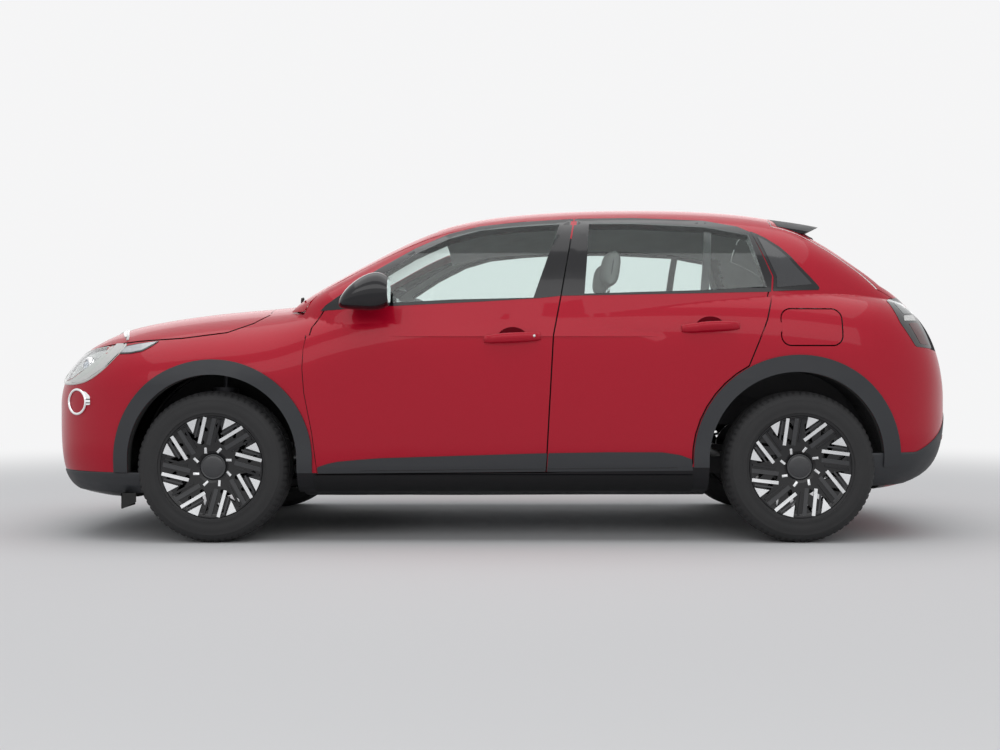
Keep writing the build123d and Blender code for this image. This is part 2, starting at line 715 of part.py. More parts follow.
with BuildPart() as knuckle:
    add(rod(front_axle_x, (648, hub_z), (712, hub_z), 56))
    add(rod(front_axle_x, (700, hub_z), (wheel_y + stub_past, hub_z), hub_bore_r - stub_clear))
    add(block(front_axle_x - 26, front_axle_x + 26, 655, 700, arm_top + arm_rise, hub_z))
    add(ball_joint(ball_r, stud_r, arm_top + 3 * arm_rise))
    add(block(front_axle_x - 30, front_axle_x + 30, 588, 680, 380, 470))
    add(rod(front_axle_x, (613, 400), (597, 650), 26))
    add(rod(front_axle_x, (597, 650), (595, 672), 58))
    add(rod(front_axle_x, (597, 650), (tower_y, tower_top - 14), 11))
    add(rod(front_axle_x, (tower_y, tower_top - 20), (tower_y, tower_top - seat_gap), 60))
    add(block(front_axle_x + 92, front_axle_x + 160, 700, 762, hub_z - 55, hub_z + 55))
    add(block(front_axle_x + 80, front_axle_x + 148, 714, 748, hub_z - 60, hub_z + 60), mode=Mode.SUBTRACT)
    add(block(front_axle_x + 30, front_axle_x + 130, 680, 706, hub_z - 40, hub_z + 40))
knuckle_right = knuckle.part.solids().sort_by(SortBy.VOLUME)[-1]
save(knuckle_right, "knuckle_right")
save(mirror(knuckle_right, about=Plane.XZ), "knuckle_left")

# ---- rear beam axle with trailing arms, hub plates and stub axles ----
beam_x = rear_axle_x - 230
arm_x = riser_x + seat_gap
with BuildPart() as rear_axle:
    with BuildSketch(SIDE.offset(-540)):
        with Locations((beam_x, hub_z - 15)):
            Circle(36)
    extrude(amount=1080)
    for side in (-1, 1):
        with BuildSketch(Plane.XY.offset(hub_z - 50)):
            with BuildLine():
                Polyline((arm_x, side * 470), (arm_x + 50, side * 470),
                         (rear_axle_x - 60, side * 570), (rear_axle_x + 60, side * 590),
                         (rear_axle_x + 60, side * 655), (rear_axle_x - 60, side * 655),
                         (arm_x, side * 540), close=True)
            make_face()
        extrude(amount=75)
        add(rod(rear_axle_x, (side * 640, hub_z), (side * (wheel_y + stub_past), hub_z),
                hub_bore_r - stub_clear))
        add(rod(rear_axle_x, (side * 650, hub_z), (side * 690, hub_z), 60))
save(rear_axle.part, "rear_axle")

# ---- front subframe with the lower arms and driveshafts ----
with BuildPart() as arms:
    end_y = on_kingpin(ball_z)[0]
    with BuildSketch(Plane.XY.offset(arm_low)):
        with BuildLine():
            ThreePointArc((front_axle_x - arm_end_r, end_y), (front_axle_x, end_y + arm_end_r),
                          (front_axle_x + arm_end_r, end_y))
            Polyline((front_axle_x + arm_end_r, end_y), (front_axle_x + 60, 600), (front_axle_x + 100, 540),
                     (front_axle_x + 300, 420), (front_axle_x + 300, 300), (front_axle_x - 60, 300),
                     (front_axle_x - 50, 560), (front_axle_x - arm_end_r, end_y))
        make_face()
    extrude(amount=arm_top - arm_low)
    add(ball_joint(ball_r + seat_gap, stud_r + seat_gap, arm_top + arm_rise), mode=Mode.SUBTRACT)
    mirror(about=Plane.XZ)
    add(block(front_axle_x - 190, front_axle_x + 330, -340, 340, subframe_z, subframe_z + subframe_t))
save(arms.part, "front_suspension")

# ---- cabin: seats, dashboard, steering wheel ----
seat_z = floor_z + seat_gap


def cushion(outline, y, half, corner, edge):
    """A padded block over a side-view outline, with its corners and both side edges rounded."""
    with BuildPart() as pad:
        with BuildSketch(SIDE.offset(-y - half)) as side_view:
            with BuildLine():
                Polyline(*outline, close=True)
            make_face()
            fillet(side_view.vertices(), corner)
        extrude(amount=2 * half)
        fillet(pad.faces().filter_by(Axis.Y).edges(), edge)
    return pad.part


def seat(y):
    with BuildPart() as one:
        add(cushion([(-170, floor_z + 90), (-150, floor_z + 270), (330, floor_z + 215), (330, floor_z + 90)],
                    y, 250, 40, 30))
        add(cushion([(300, floor_z + 130), (250, floor_z + 240), (470, floor_z + 790), (560, floor_z + 790),
                     (430, floor_z + 130)], y, 240, 40, 30))
        add(cushion([(490, floor_z + 815), (530, floor_z + 990), (600, floor_z + 990), (600, floor_z + 815)],
                    y, 130, 25, 22))
        add(block(505, 545, y - 70, y - 56, floor_z + 760, floor_z + 850))
        add(block(505, 545, y + 56, y + 70, floor_z + 760, floor_z + 850))
        add(block(-100, 350, y - 200, y + 200, seat_z, floor_z + 110))
    return one.part


save(Compound([seat(-370), seat(370)]), "front_seats")
with BuildPart() as bench:
    add(cushion([(790, luggage_z + seat_gap), (780, luggage_z + 150), (1260, luggage_z + 130),
                 (1260, luggage_z + seat_gap)], 0, 545, 30, 25))
    add(cushion([(1160, luggage_z + 60), (1140, luggage_z + 150), (1300, luggage_z + 620),
                 (1390, luggage_z + 620), (1290, luggage_z + 60)], 0, 535, 30, 25))
save(bench.part, "rear_bench")
dash_x = firewall_x + firewall_t + seat_gap
column_tilt = math.radians(24)
wheel_centre = (-330.0, -370.0, 905.0)
column = Plane(origin=wheel_centre, z_dir=(math.cos(column_tilt), 0, math.sin(column_tilt)))
column_len = 110.0
with BuildPart() as dashboard:
    with BuildSketch(SIDE.offset(-690)):
        with BuildLine():
            Polyline((dash_x, 560), (-600, 560), (-480, 760), (-470, 860), (-560, 965), (dash_x, 985),
                     close=True)
        make_face()
    extrude(amount=1380)
    add(block(-700, 250, -110, 110, seat_z, floor_z + 230))
    with BuildSketch(column.offset(-column_len - seat_gap)):
        Circle(42)
    extrude(amount=-120)
save(dashboard.part, "dashboard")
with BuildPart() as steering_wheel:
    with BuildSketch(column):
        Circle(185)
        Circle(158, mode=Mode.SUBTRACT)
        Rectangle(340, 60)
        Circle(70)
    extrude(amount=28)
    with BuildSketch(column):
        Circle(26)
    extrude(amount=-column_len)
save(steering_wheel.part, "steering_wheel")

# ---- mirrors on the front doors ----
MIRROR = [(-684, 12, 1030, 1044), (-662, 48, 1018, 1090), (-606, 70, 1012, 1142), (-536, 76, 1010, 1173),
          (-470, 68, 1030, 1152)]
mirror_y = -924.0
with BuildPart() as mirror_left:
    for x, half, low, high in MIRROR:
        with BuildSketch(Plane(origin=(x, mirror_y, (low + high) / 2), x_dir=(0, 1, 0), z_dir=(1, 0, 0))):
            Ellipse(half, (high - low) / 2)
    loft()
    add(block(-650, -560, -895, -800, 1034, 1062))
    add(outer_top.part, mode=Mode.SUBTRACT, clean=False)
    add(outer_low.part, mode=Mode.SUBTRACT, clean=False)
mirror_solid = mirror_left.part.solids().sort_by(SortBy.VOLUME)[-1]
save(mirror_solid, "mirror_left")
save(mirror(mirror_solid, about=Plane.XZ), "mirror_right")
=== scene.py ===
import math

import bmesh
import bpy
import numpy as np
from mathutils import Matrix, Vector
from mathutils.bvhtree import BVHTree
from mathutils.geometry import tessellate_polygon


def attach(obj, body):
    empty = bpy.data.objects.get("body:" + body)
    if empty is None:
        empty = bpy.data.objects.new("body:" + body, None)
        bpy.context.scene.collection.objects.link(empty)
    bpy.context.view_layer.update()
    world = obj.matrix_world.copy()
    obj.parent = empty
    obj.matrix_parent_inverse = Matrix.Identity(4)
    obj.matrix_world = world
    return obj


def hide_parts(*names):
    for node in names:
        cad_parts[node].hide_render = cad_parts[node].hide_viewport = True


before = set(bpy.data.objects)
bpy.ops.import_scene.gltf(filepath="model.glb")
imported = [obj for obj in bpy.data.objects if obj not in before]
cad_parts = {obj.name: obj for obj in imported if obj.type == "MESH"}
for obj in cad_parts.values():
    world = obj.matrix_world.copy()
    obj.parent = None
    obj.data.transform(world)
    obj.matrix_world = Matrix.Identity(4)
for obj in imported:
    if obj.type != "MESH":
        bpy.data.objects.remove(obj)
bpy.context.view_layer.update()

# ---- sizes in metres: the front of the car is -X, its left side is -Y, and the ground is Z = 0
FRONT_X = -1.247
REAR_X = 1.315
HUB_Z = 0.331
WHEEL_Y = 0.768
SKIN_REACH = 0.009  # a face of a panel this near the outer form is painted
DOORWAY_REACH = 0.003  # the same beside the doors' window frames
NORMAL_REACH = 0.004  # how far off the form a panel may lie and still take its shading
PANE_GAP = 0.0008  # between a window frame and its pane
LOW_ROWS, HIGH_ROWS = 420, 300  # rows of points along the two forms
SIDES = (("left", -1), ("right", 1))


# ---- shader helpers
def feed(nt, node, inputs):
    """Give a node's inputs their values, or the outputs that feed them."""
    for key, value in inputs.items():
        if isinstance(value, bpy.types.NodeSocket):
            nt.links.new(value, node.inputs[key])
        else:
            node.inputs[key].default_value = value
    return node


def add_node(nt, kind, inputs=None, **settings):
    """A shader node with its settings and its inputs."""
    node = nt.nodes.new("ShaderNode" + kind)
    for key, value in settings.items():
        setattr(node, key, value)
    return feed(nt, node, inputs or {})


def new_material(name):
    mat = bpy.data.materials.new(name)
    mat.use_nodes = True
    nt = mat.node_tree
    nt.nodes.clear()
    bsdf = add_node(nt, "BsdfPrincipled")
    add_node(nt, "OutputMaterial", {0: bsdf.outputs[0]})
    return mat, nt, bsdf


def noise(nt, scale, detail=2.0, rough=0.5):
    where = add_node(nt, "TexCoord").outputs["Object"]
    return add_node(nt, "TexNoise", {"Scale": scale, "Detail": detail, "Roughness": rough,
                                     "Vector": where}).outputs[0]


def ramp(nt, src, lo, hi, a, b):
    return add_node(nt, "MapRange", {"From Min": lo, "From Max": hi, "To Min": a, "To Max": b,
                                     "Value": src}).outputs[0]


def math_node(nt, kind, a, b):
    return add_node(nt, "Math", {0: a, 1: b}, operation=kind).outputs[0]


def mix_colour(nt, fac, a, b):
    """A mix of two colours, each a value or another node's output."""
    a, b = ((*c, 1) if isinstance(c, tuple) else c for c in (a, b))
    return add_node(nt, "Mix", {"Factor": fac, "A": a, "B": b}, data_type="RGBA").outputs["Result"]


def simple(name, colour, rough, metal=0.0, coat=0.0, grain=None, grain_depth=0.0002, grain_strength=0.3,
           vary=0.12, vary_scale=12.0, rough_vary=0.05, spec=0.5):
    """A plain moulded, cast or painted finish with uneven colour, gloss and a fine grain."""
    mat, nt, bsdf = new_material(name)
    base = noise(nt, vary_scale, 3.0)
    dark = tuple(c * (1 - vary) for c in colour)
    light = tuple(min(1.0, c * (1 + vary)) for c in colour)
    feed(nt, bsdf, {"Base Color": mix_colour(nt, base, dark, light), "Roughness": ramp(nt, base, 0.3, 0.7,
            rough - rough_vary, rough + rough_vary), "Metallic": metal, "Coat Weight": coat,
                    "Coat Roughness": 0.03, "Specular IOR Level": spec})
    if grain:
        height = noise(nt, grain, 3.0, 0.6)
        bump = add_node(nt, "Bump", {"Strength": grain_strength, "Distance": grain_depth, "Height": height})
        feed(nt, bsdf, {"Normal": bump.outputs[0]})
    return mat


def glass(name, tint, ior=1.45):
    mat, nt, bsdf = new_material(name)
    feed(nt, bsdf, {"Base Color": (*tint, 1), "Transmission Weight": 1.0, "Roughness": 0.0, "IOR": ior})
    return mat


# ---- the smooth body form
# x, half width, bottom, waist, top and four corner exponents, millimetres, as the part's sections have them
LOWER = [
    (-2083, 190, 500, 555, 610, 3.0, 2.2, 3.0, 2.2),
    (-2072, 300, 440, 560, 680, 3.0, 2.2, 3.5, 2.5),
    (-2050, 430, 330, 570, 745, 3.0, 2.2, 4.0, 3.0),
    (-2010, 560, 235, 590, 805, 3.0, 2.2, 5.0, 4.0),
    (-1940, 672, 195, 620, 868, 3.0, 2.1, 6.0, 5.0),
    (-1830, 764, 182, 650, 926, 3.1, 2.0, 7.0, 6.0),
    (-1680, 830, 176, 675, 974, 3.2, 2.0, 8.0, 8.0),
    (-1480, 867, 180, 690, 1009, 3.2, 2.0, 8.0, 10.0),
    (-1245, 878, 185, 700, 1037, 3.2, 2.0, 8.0, 12.0),
    (-1000, 874, 188, 700, 1056, 3.6, 2.2, 8.0, 12.0),
    (-780, 868, 188, 700, 1078, 4.8, 3.0, 8.0, 12.0),
    (-500, 864, 188, 700, 1108, 6.4, 4.0, 8.0, 12.0),
    (0, 862, 188, 705, 1130, 7.2, 4.5, 8.0, 12.0),
    (600, 864, 190, 710, 1145, 7.2, 4.5, 8.0, 12.0),
    (1000, 870, 192, 715, 1155, 7.0, 4.2, 8.0, 12.0),
    (1314, 876, 196, 720, 1155, 6.0, 3.8, 8.0, 10.0),
    (1600, 858, 205, 720, 1140, 5.0, 3.4, 8.0, 8.0),
    (1800, 800, 222, 700, 1105, 4.5, 3.0, 7.0, 6.0),
    (1920, 722, 255, 670, 1035, 4.2, 2.8, 6.0, 5.0),
    (2000, 620, 300, 640, 930, 4.0, 2.6, 5.0, 4.0),
    (2050, 500, 365, 600, 800, 3.6, 2.4, 4.0, 3.0),
    (2076, 350, 430, 560, 680, 3.2, 2.2, 3.5, 2.5),
    (2084, 220, 480, 550, 610, 3.0, 2.2, 3.0, 2.2),
]
# x, half width at the belt base, roof height
UPPER = [
    (-1090, 420, 985), (-1040, 540, 1015), (-960, 655, 1062), (-870, 745, 1114), (-785, 806, 1163),
    (-640, 845, 1248), (-450, 858, 1357), (-309, 862, 1424), (-200, 863, 1459), (-50, 865, 1489),
    (150, 866, 1511), (400, 866, 1525), (650, 864, 1529), (900, 858, 1524), (1100, 848, 1510),
    (1250, 830, 1490), (1340, 815, 1466), (1420, 798, 1425), (1500, 775, 1378), (1600, 740, 1310),
    (1700, 698, 1238), (1800, 640, 1160), (1870, 575, 1102), (1930, 480, 1050),
]
BELT_BASE_Z = 900.0
TUMBLE = 0.264


def evenly(points, count):
    """A curve as count + 1 points at equal shares of its length."""
    points = np.asarray(points, float)
    run = np.concatenate(([0.0], np.cumsum(np.linalg.norm(np.diff(points, axis=0), axis=1))))
    want = np.linspace(0.0, run[-1], count + 1)
    return np.stack([np.interp(want, run, points[:, k]) for k in range(points.shape[1])], axis=1)


def half_ring(w, h, a, b):
    t = np.linspace(0.0, math.pi / 2, 121)
    return np.stack([w * np.cos(t) ** (2 / a), h * np.sin(t) ** (2 / b)], axis=1)


def lower_ring(x, w, bottom, waist, top, a, b, c, d, count=64):
    up = half_ring(w, top - waist, a, b) + (0, waist)
    down = half_ring(w, bottom - waist, c, d) + (0, waist)
    up[-1] = (0, top)
    down[-1] = (0, bottom)
    up = evenly(np.concatenate([up, (up * (-1, 1))[-2::-1]]), count)
    down = evenly(np.concatenate([down, (down * (-1, 1))[-2::-1]]), count)[::-1]
    ring = np.concatenate([up, down[1:-1]])
    return np.column_stack([np.full(len(ring), x), ring])


def upper_ring(x, half, roof, count=96):
    t = np.linspace(0.0, math.pi / 2, 121)
    z = BELT_BASE_Z + (roof - BELT_BASE_Z) * np.sin(t) ** (2 / 7)
    pts = np.stack([(half - TUMBLE * (z - BELT_BASE_Z)) * np.cos(t) ** 0.8, z], axis=1)
    pts[-1] = (0, roof)
    ring = evenly(np.concatenate([pts, (pts * (-1, 1))[-2::-1]]), count)
    return np.column_stack([np.full(len(ring), x), ring])


def spline_rows(rows, dense):
    """Natural cubic splines from section to section, along the mean distance between them."""
    rows = np.asarray(rows)
    n = len(rows)
    gaps = np.linalg.norm(np.diff(rows, axis=0), axis=2).mean(axis=1)
    s = np.concatenate(([0.0], np.cumsum(gaps)))
    h = np.diff(s)
    mat = np.eye(n)
    rhs = np.zeros((n,) + rows.shape[1:])
    for i in range(1, n - 1):
        mat[i, i - 1:i + 2] = (h[i - 1], 2 * (h[i - 1] + h[i]), h[i])
        rhs[i] = 6 * ((rows[i + 1] - rows[i]) / h[i] - (rows[i] - rows[i - 1]) / h[i - 1])
    curv = np.linalg.solve(mat, rhs.reshape(n, -1)).reshape(rhs.shape)
    want = np.linspace(0, s[-1], dense)
    k = np.clip(np.searchsorted(s, want, side="right") - 1, 0, n - 2)
    left = (s[k + 1] - want)[:, None, None]
    right = (want - s[k])[:, None, None]
    hk = h[k][:, None, None]
    return (curv[k] * left ** 3 + curv[k + 1] * right ** 3) / (6 * hk) + (
        rows[k] / hk - curv[k] * hk / 6) * left + (rows[k + 1] / hk - curv[k + 1] * hk / 6) * right


def form_mesh():
    """Both forms of the body in one dense mesh with closed ends, whose normals the panels borrow."""
    bm = bmesh.new()
    for rows, closed in ((spline_rows([lower_ring(*row) for row in LOWER], LOW_ROWS), True),
                         (spline_rows([upper_ring(*row) for row in UPPER], HIGH_ROWS), False)):
        rings = [[bm.verts.new(p) for p in ring] for ring in (rows / 1000).tolist()]
        for one, two in zip(rings, rings[1:]):
            pairs = list(zip(one, two))
            for (a, d), (b, c) in zip(pairs, pairs[1:] + (pairs[:1] if closed else [])):
                bm.faces.new((a, b, c, d)).smooth = True
        for end in (rings[0], rings[-1]):
            bm.faces.new(end)
    bmesh.ops.recalc_face_normals(bm, faces=bm.faces)
    mesh = bpy.data.meshes.new("body_form")
    bm.to_mesh(mesh)
    bm.free()
    return mesh


FORM = bpy.data.objects.new("body_form", form_mesh())
bpy.context.collection.objects.link(FORM)
FORM.hide_render = True
FORM.hide_viewport = True


def smooth_panel(node):
    """A panel takes its shading from the smooth form wherever it lies on it."""
    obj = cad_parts[node]
    obj.data.polygons.foreach_set("use_smooth", np.ones(len(obj.data.polygons), bool))
    mod = obj.modifiers.new("form_normals", "DATA_TRANSFER")
    mod.object = FORM
    mod.use_loop_data = True
    mod.data_types_loops = {"CUSTOM_NORMAL"}
    mod.loop_mapping = "POLYINTERP_NEAREST"
    mod.use_max_distance = True
    mod.max_distance = NORMAL_REACH


FORM_TREE = BVHTree.FromPolygons([v.co for v in FORM.data.vertices], [p.vertices for p in FORM.data.polygons])
VIEWS = {  # where a flat outline is seen from: its two axes, and the way it is looked at
    "left": (lambda u, v: Vector((u, -4, v)), Vector((0, 1, 0))),
    "right": (lambda u, v: Vector((u, 4, v)), Vector((0, -1, 0))),
    "front": (lambda u, v: Vector((-4, u, v)), Vector((1, 0, 0))),
    "rear": (lambda u, v: Vector((4, u, v)), Vector((-1, 0, 0))),
    "top": (lambda u, v: Vector((u, v, 4)), Vector((0, 0, -1))),
}

SEAM_STEP = Vector((1.3e-5, 1.7e-5, 0.9e-5))


def cast(start, way):
    """Where a ray meets the outer form; the small step keeps it off the mesh's own edges."""
    hit, normal, _, _ = FORM_TREE.ray_cast(start + SEAM_STEP, way)
    if hit is None:
        hit, normal, _, _ = FORM_TREE.find_nearest(start + way * 2.5)
    return hit, (-normal if normal.dot(way) > 0 else normal)


def skin_at(u, v, view="left"):
    """The body's outer surface and its normal, seen at a point of a view, in metres."""
    start, way = VIEWS[view]
    return cast(start(u, v), way)


# ---- outlines
def mm(points):
    return [(u / 1000, v / 1000) for u, v in points]


def oblong(u0, u1, v0, v1):
    return [(u0, v0), (u1, v0), (u1, v1), (u0, v1)]


def curve(points, count=8):
    """A smooth open line through the points."""
    pts = [Vector(p) for p in points]
    pts = [2 * pts[0] - pts[1]] + pts + [2 * pts[-1] - pts[-2]]
    out = []
    for a, b, c, d in zip(pts, pts[1:], pts[2:], pts[3:]):
        for k in range(count):
            t = k / count
            out.append(0.5 * (2 * b + (c - a) * t + (2 * a - 5 * b + 4 * c - d) * t * t
                              + (3 * b - a - 3 * c + d) * t ** 3))
    return [tuple(p) for p in out + [pts[-2]]]


def soft(points, r, steps=5):
    """A closed outline with every corner rounded."""
    out = []
    n = len(points)
    for i, p in enumerate(points):
        p, a, b = Vector(p), Vector(points[i - 1]), Vector(points[(i + 1) % n])
        back, ahead = a - p, b - p
        start = p + back.normalized() * min(r, back.length * 0.45)
        end = p + ahead.normalized() * min(r, ahead.length * 0.45)
        for k in range(steps + 1):
            t = k / steps
            out.append(tuple(start * (1 - t) ** 2 + p * 2 * t * (1 - t) + end * t * t))
    return out


def area(points):
    return sum(p[0] * q[1] - q[0] * p[1] for p, q in zip(points, points[1:] + points[:1])) / 2


def shrunk(points, by):
    """A closed outline moved inwards, corner by corner."""
    turn = 1 if area(points) > 0 else -1
    out = []
    n = len(points)
    for i, p in enumerate(points):
        p, a, b = Vector(p), Vector(points[i - 1]), Vector(points[(i + 1) % n])
        d1, d2 = (p - a).normalized(), (b - p).normalized()
        n1, n2 = Vector((-d1.y, d1.x)) * turn, Vector((-d2.y, d2.x)) * turn
        mid = (n1 + n2)
        out.append(tuple(p + mid * (by / max(0.3, 1 + n1.dot(n2)))))
    return out


# ---- pieces
def add_object(name, mesh, mat, body):
    """A finished piece that rides on a body and takes a finish."""
    obj = bpy.data.objects.new(name, mesh)
    bpy.context.collection.objects.link(obj)
    mesh.materials.append(mat)
    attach(obj, body)
    return obj


def add_mesh(name, verts, faces, mat, body):
    """A smooth piece from its corners and faces."""
    mesh = bpy.data.meshes.new(name)
    mesh.from_pydata([tuple(v) for v in verts], [], [tuple(f) for f in faces])
    mesh.polygons.foreach_set("use_smooth", np.ones(len(mesh.polygons), bool))
    mesh.update()
    return add_object(name, mesh, mat, body)


def strips(rows, cols, loop=False, ring=True):
    """Quads between rows of points; loop joins the last row to the first, ring the last column."""
    return [[i * cols + k, i * cols + (k + 1) % cols, (i + 1) % rows * cols + (k + 1) % cols,
             (i + 1) % rows * cols + k] for i in range(rows if loop else rows - 1)
            for k in range(cols if ring else cols - 1)]


def flat_cells(outer, holes=(), step=0.03):
    """A flat outline with holes, cut into cells; returns its corners, faces and border edges."""
    rings = [outer] + list(holes)
    flat = [p for ring in rings for p in ring]
    tris = tessellate_polygon([[Vector((u, v, 0)) for u, v in ring] for ring in rings])
    bm = bmesh.new()
    verts = [bm.verts.new((u, v, 0)) for u, v in flat]
    for tri in tris:
        if len(set(tri)) == 3:
            try:
                bm.faces.new([verts[i] for i in tri])
            except ValueError:
                pass
    bmesh.ops.recalc_face_normals(bm, faces=bm.faces)
    for axis in (0, 1):
        values = [v.co[axis] for v in bm.verts]
        k = math.ceil(min(values) / step) * step
        while k < max(values):
            normal = Vector((1, 0, 0)) if axis == 0 else Vector((0, 1, 0))
            bmesh.ops.bisect_plane(bm, geom=bm.faces[:] + bm.edges[:] + bm.verts[:], plane_co=normal * k,
                                   plane_no=normal, dist=1e-6)
            k += step
    bm.verts.index_update()
    points = [(v.co.x, v.co.y) for v in bm.verts]
    faces = [[v.index for v in (f.verts if f.normal.z > 0 else reversed(f.verts))] for f in bm.faces]
    border = [tuple(v.index for v in e.verts) for e in bm.edges if len(e.link_faces) == 1]
    bm.free()
    return points, faces, border


def near_ring(point, ring, reach=1e-4):
    for p, q in zip(ring, ring[1:] + ring[:1]):
        p, q = Vector(p), Vector(q)
        line = q - p
        t = max(0.0, min(1.0, (point - p).dot(line) / max(line.length_squared, 1e-12)))
        if (p + line * t - point).length < reach:
            return True
    return False


def slab(name, outer, holes, view, lift, depth, mat, body="body", step=0.03, hole_depth=None, place=None):
    """A thin piece that follows the skin over an outline seen in a view, with its own edges and back."""
    points, faces, border = flat_cells(outer, holes, step)
    spots = [place(u, v) if place else skin_at(u, v, view) for u, v in points]
    front = [p + n * lift for p, n in spots]
    a, b, c = (front[i] for i in faces[0][:3])
    if (b - a).cross(c - a).dot(VIEWS[view][1]) > 0:
        faces = [f[::-1] for f in faces]
    directed = {pair for f in faces for pair in zip(f, f[1:] + f[:1])}
    verts = front + [p + n * (lift - depth) for p, n in spots]
    count = len(points)
    faces = faces + [[i + count for i in f[::-1]] for f in faces]
    for a, b in border:
        if (a, b) not in directed:
            a, b = b, a
        mid = (Vector(points[a]) + Vector(points[b])) / 2
        at_hole = hole_depth is not None and any(near_ring(mid, hole) for hole in holes)
        deep = hole_depth if at_hole else depth
        base = len(verts)
        verts += [front[b], front[a]] + [spots[k][0] + spots[k][1] * (lift - deep) for k in (a, b)]
        faces.append(range(base, base + 4))
    return add_mesh(name, verts, faces, mat, body)


def patch(name, outline, side, lift, depth, mat, body="body", step=0.03, r=0.006, steps=3):
    """A thin patch with rounded corners on one side of the car."""
    return slab(f"{name}_{side}", soft(outline, r, steps), (), side, lift, depth, mat, body, step)


def tube(name, points, r, mat, body="body", sides=8, closed=False):
    """A round bar along a line of points."""
    pts = [Vector(p) for p in points]
    n = len(pts)
    verts = []
    side = None
    for i, p in enumerate(pts):
        a = pts[(i - 1) % n] if closed or i else p
        b = pts[(i + 1) % n] if closed or i < n - 1 else p
        along = (b - a).normalized()
        if side is None:
            side = along.orthogonal().normalized()
        side = (side - along * side.dot(along)).normalized()
        up = along.cross(side)
        for t in (math.tau * k / sides for k in range(sides)):
            verts.append(p + side * math.cos(t) * r + up * math.sin(t) * r)
    faces = strips(n, sides, closed)
    if not closed:
        faces += [range(sides)[::-1], range((n - 1) * sides, n * sides)]
    return add_mesh(name, verts, faces, mat, body)


def revolved(name, profile, centre, axis, count, mat, body="body", wave=None):
    """A profile of (radius, along) turned about an axis through a centre."""
    axis = Vector(axis).normalized()
    side = Vector((0, 0, 1)) if abs(axis.y) > 0.9 else axis.orthogonal().normalized()
    up = axis.cross(side)
    centre = Vector(centre)
    verts = []
    for i in range(count):
        t = math.tau * i / count
        way = side * math.cos(t) + up * math.sin(t)
        verts += [centre + way * (r + (wave(i, k) if wave else 0.0)) + axis * y for k,
                  (r, y) in enumerate(profile)]
    return add_mesh(name, verts, strips(count, len(profile), True, False), mat, body)


def prism_mesh(outline, low, high, place, bevel=0.0):
    """A closed prism over a flat outline, its outer edges bevelled."""
    bm = bmesh.new()
    base = [bm.verts.new((u, v, low)) for u, v in outline]
    face = bm.faces.new(base)
    if face.normal.z > 0:
        face.normal_flip()
    top = bmesh.ops.extrude_face_region(bm, geom=[face])
    moved = [g for g in top["geom"] if isinstance(g, bmesh.types.BMVert)]
    for v in moved:
        v.co.z = high
    bmesh.ops.recalc_face_normals(bm, faces=bm.faces)
    if bevel:
        edges = [e for e in bm.edges if all(abs(v.co.z - high) < 1e-9 for v in e.verts)]
        bmesh.ops.bevel(bm, geom=edges, offset=bevel, segments=2, affect="EDGES", profile=0.5)
    for v in bm.verts:
        v.co = place(*v.co)
    bmesh.ops.recalc_face_normals(bm, faces=bm.faces)
    return bm


def joined(name, parts, mat, body, smooth=False):
    """Several small bmeshes as one piece."""
    whole = bmesh.new()
    for bm in parts:
        mesh = bpy.data.meshes.new("part")
        bm.to_mesh(mesh)
        bm.free()
        whole.from_mesh(mesh)
        bpy.data.meshes.remove(mesh)
    mesh = bpy.data.meshes.new(name)
    whole.to_mesh(mesh)
    whole.free()
    mesh.polygons.foreach_set("use_smooth", np.full(len(mesh.polygons), smooth))
    return add_object(name, mesh, mat, body)


def rounded_box(name, size, at, r, mat, body="body", turn=None):
    """A box with every edge rounded."""
    bm = bmesh.new()
    bmesh.ops.create_cube(bm, size=1.0)
    bmesh.ops.scale(bm, vec=size, verts=bm.verts)
    bmesh.ops.bevel(bm, geom=bm.edges[:], offset=r, segments=3, affect="EDGES", profile=0.5)
    if turn:
        bmesh.ops.transform(bm, matrix=turn.to_4x4(), verts=bm.verts)
    bmesh.ops.translate(bm, vec=at, verts=bm.verts)
    return joined(name, [bm], mat, body, True)


# ---- materials
# slope and height at x = 0 of the belt, on the front and the rear door
BELT_LINES = [(0.0604, 1.0728), (0.0213, 1.0833)]
MOULDED_BLACK = (0.006, 0.006, 0.008)


def below(height):
    """For paint_material: one below a height and zero above it."""
    return lambda nt, at: math_node(nt, "LESS_THAN", at["Z"], height)


def above_belt(nt, at):
    """For paint_material: one above the belt line, where the doors' frames are black, and zero below it."""
    lines = [math_node(nt, "ADD", math_node(nt, "MULTIPLY", at["X"], slope), height) for slope,
             height in BELT_LINES]
    return math_node(nt, "GREATER_THAN", at["Z"], math_node(nt, "MINIMUM", *lines))


def paint_material(name, black_where=None):
    """Red coach paint under lacquer; some panels are moulded in black over a part of their height."""
    mat, nt, bsdf = new_material(name)
    flakes = ramp(nt, noise(nt, 900.0, 2.0, 0.7), 0.35, 0.7, 0.0, 1.0)
    colour = mix_colour(nt, flakes, (0.37, 0.001, 0.014), (0.47, 0.002, 0.024))
    if black_where:
        at = add_node(nt, "SeparateXYZ", {0: add_node(nt, "TexCoord").outputs["Object"]}).outputs
        colour = mix_colour(nt, black_where(nt, at), colour, MOULDED_BLACK)
    feed(nt, bsdf, {"Base Color": colour, "Roughness": ramp(nt, noise(nt, 2.5), 0.3, 0.7, 0.34, 0.4),
                    "Metallic": 0.14, "Specular IOR Level": 0.12,
                    "Coat Weight": 0.36, "Coat Roughness": 0.02, "Coat IOR": 1.5})
    return mat


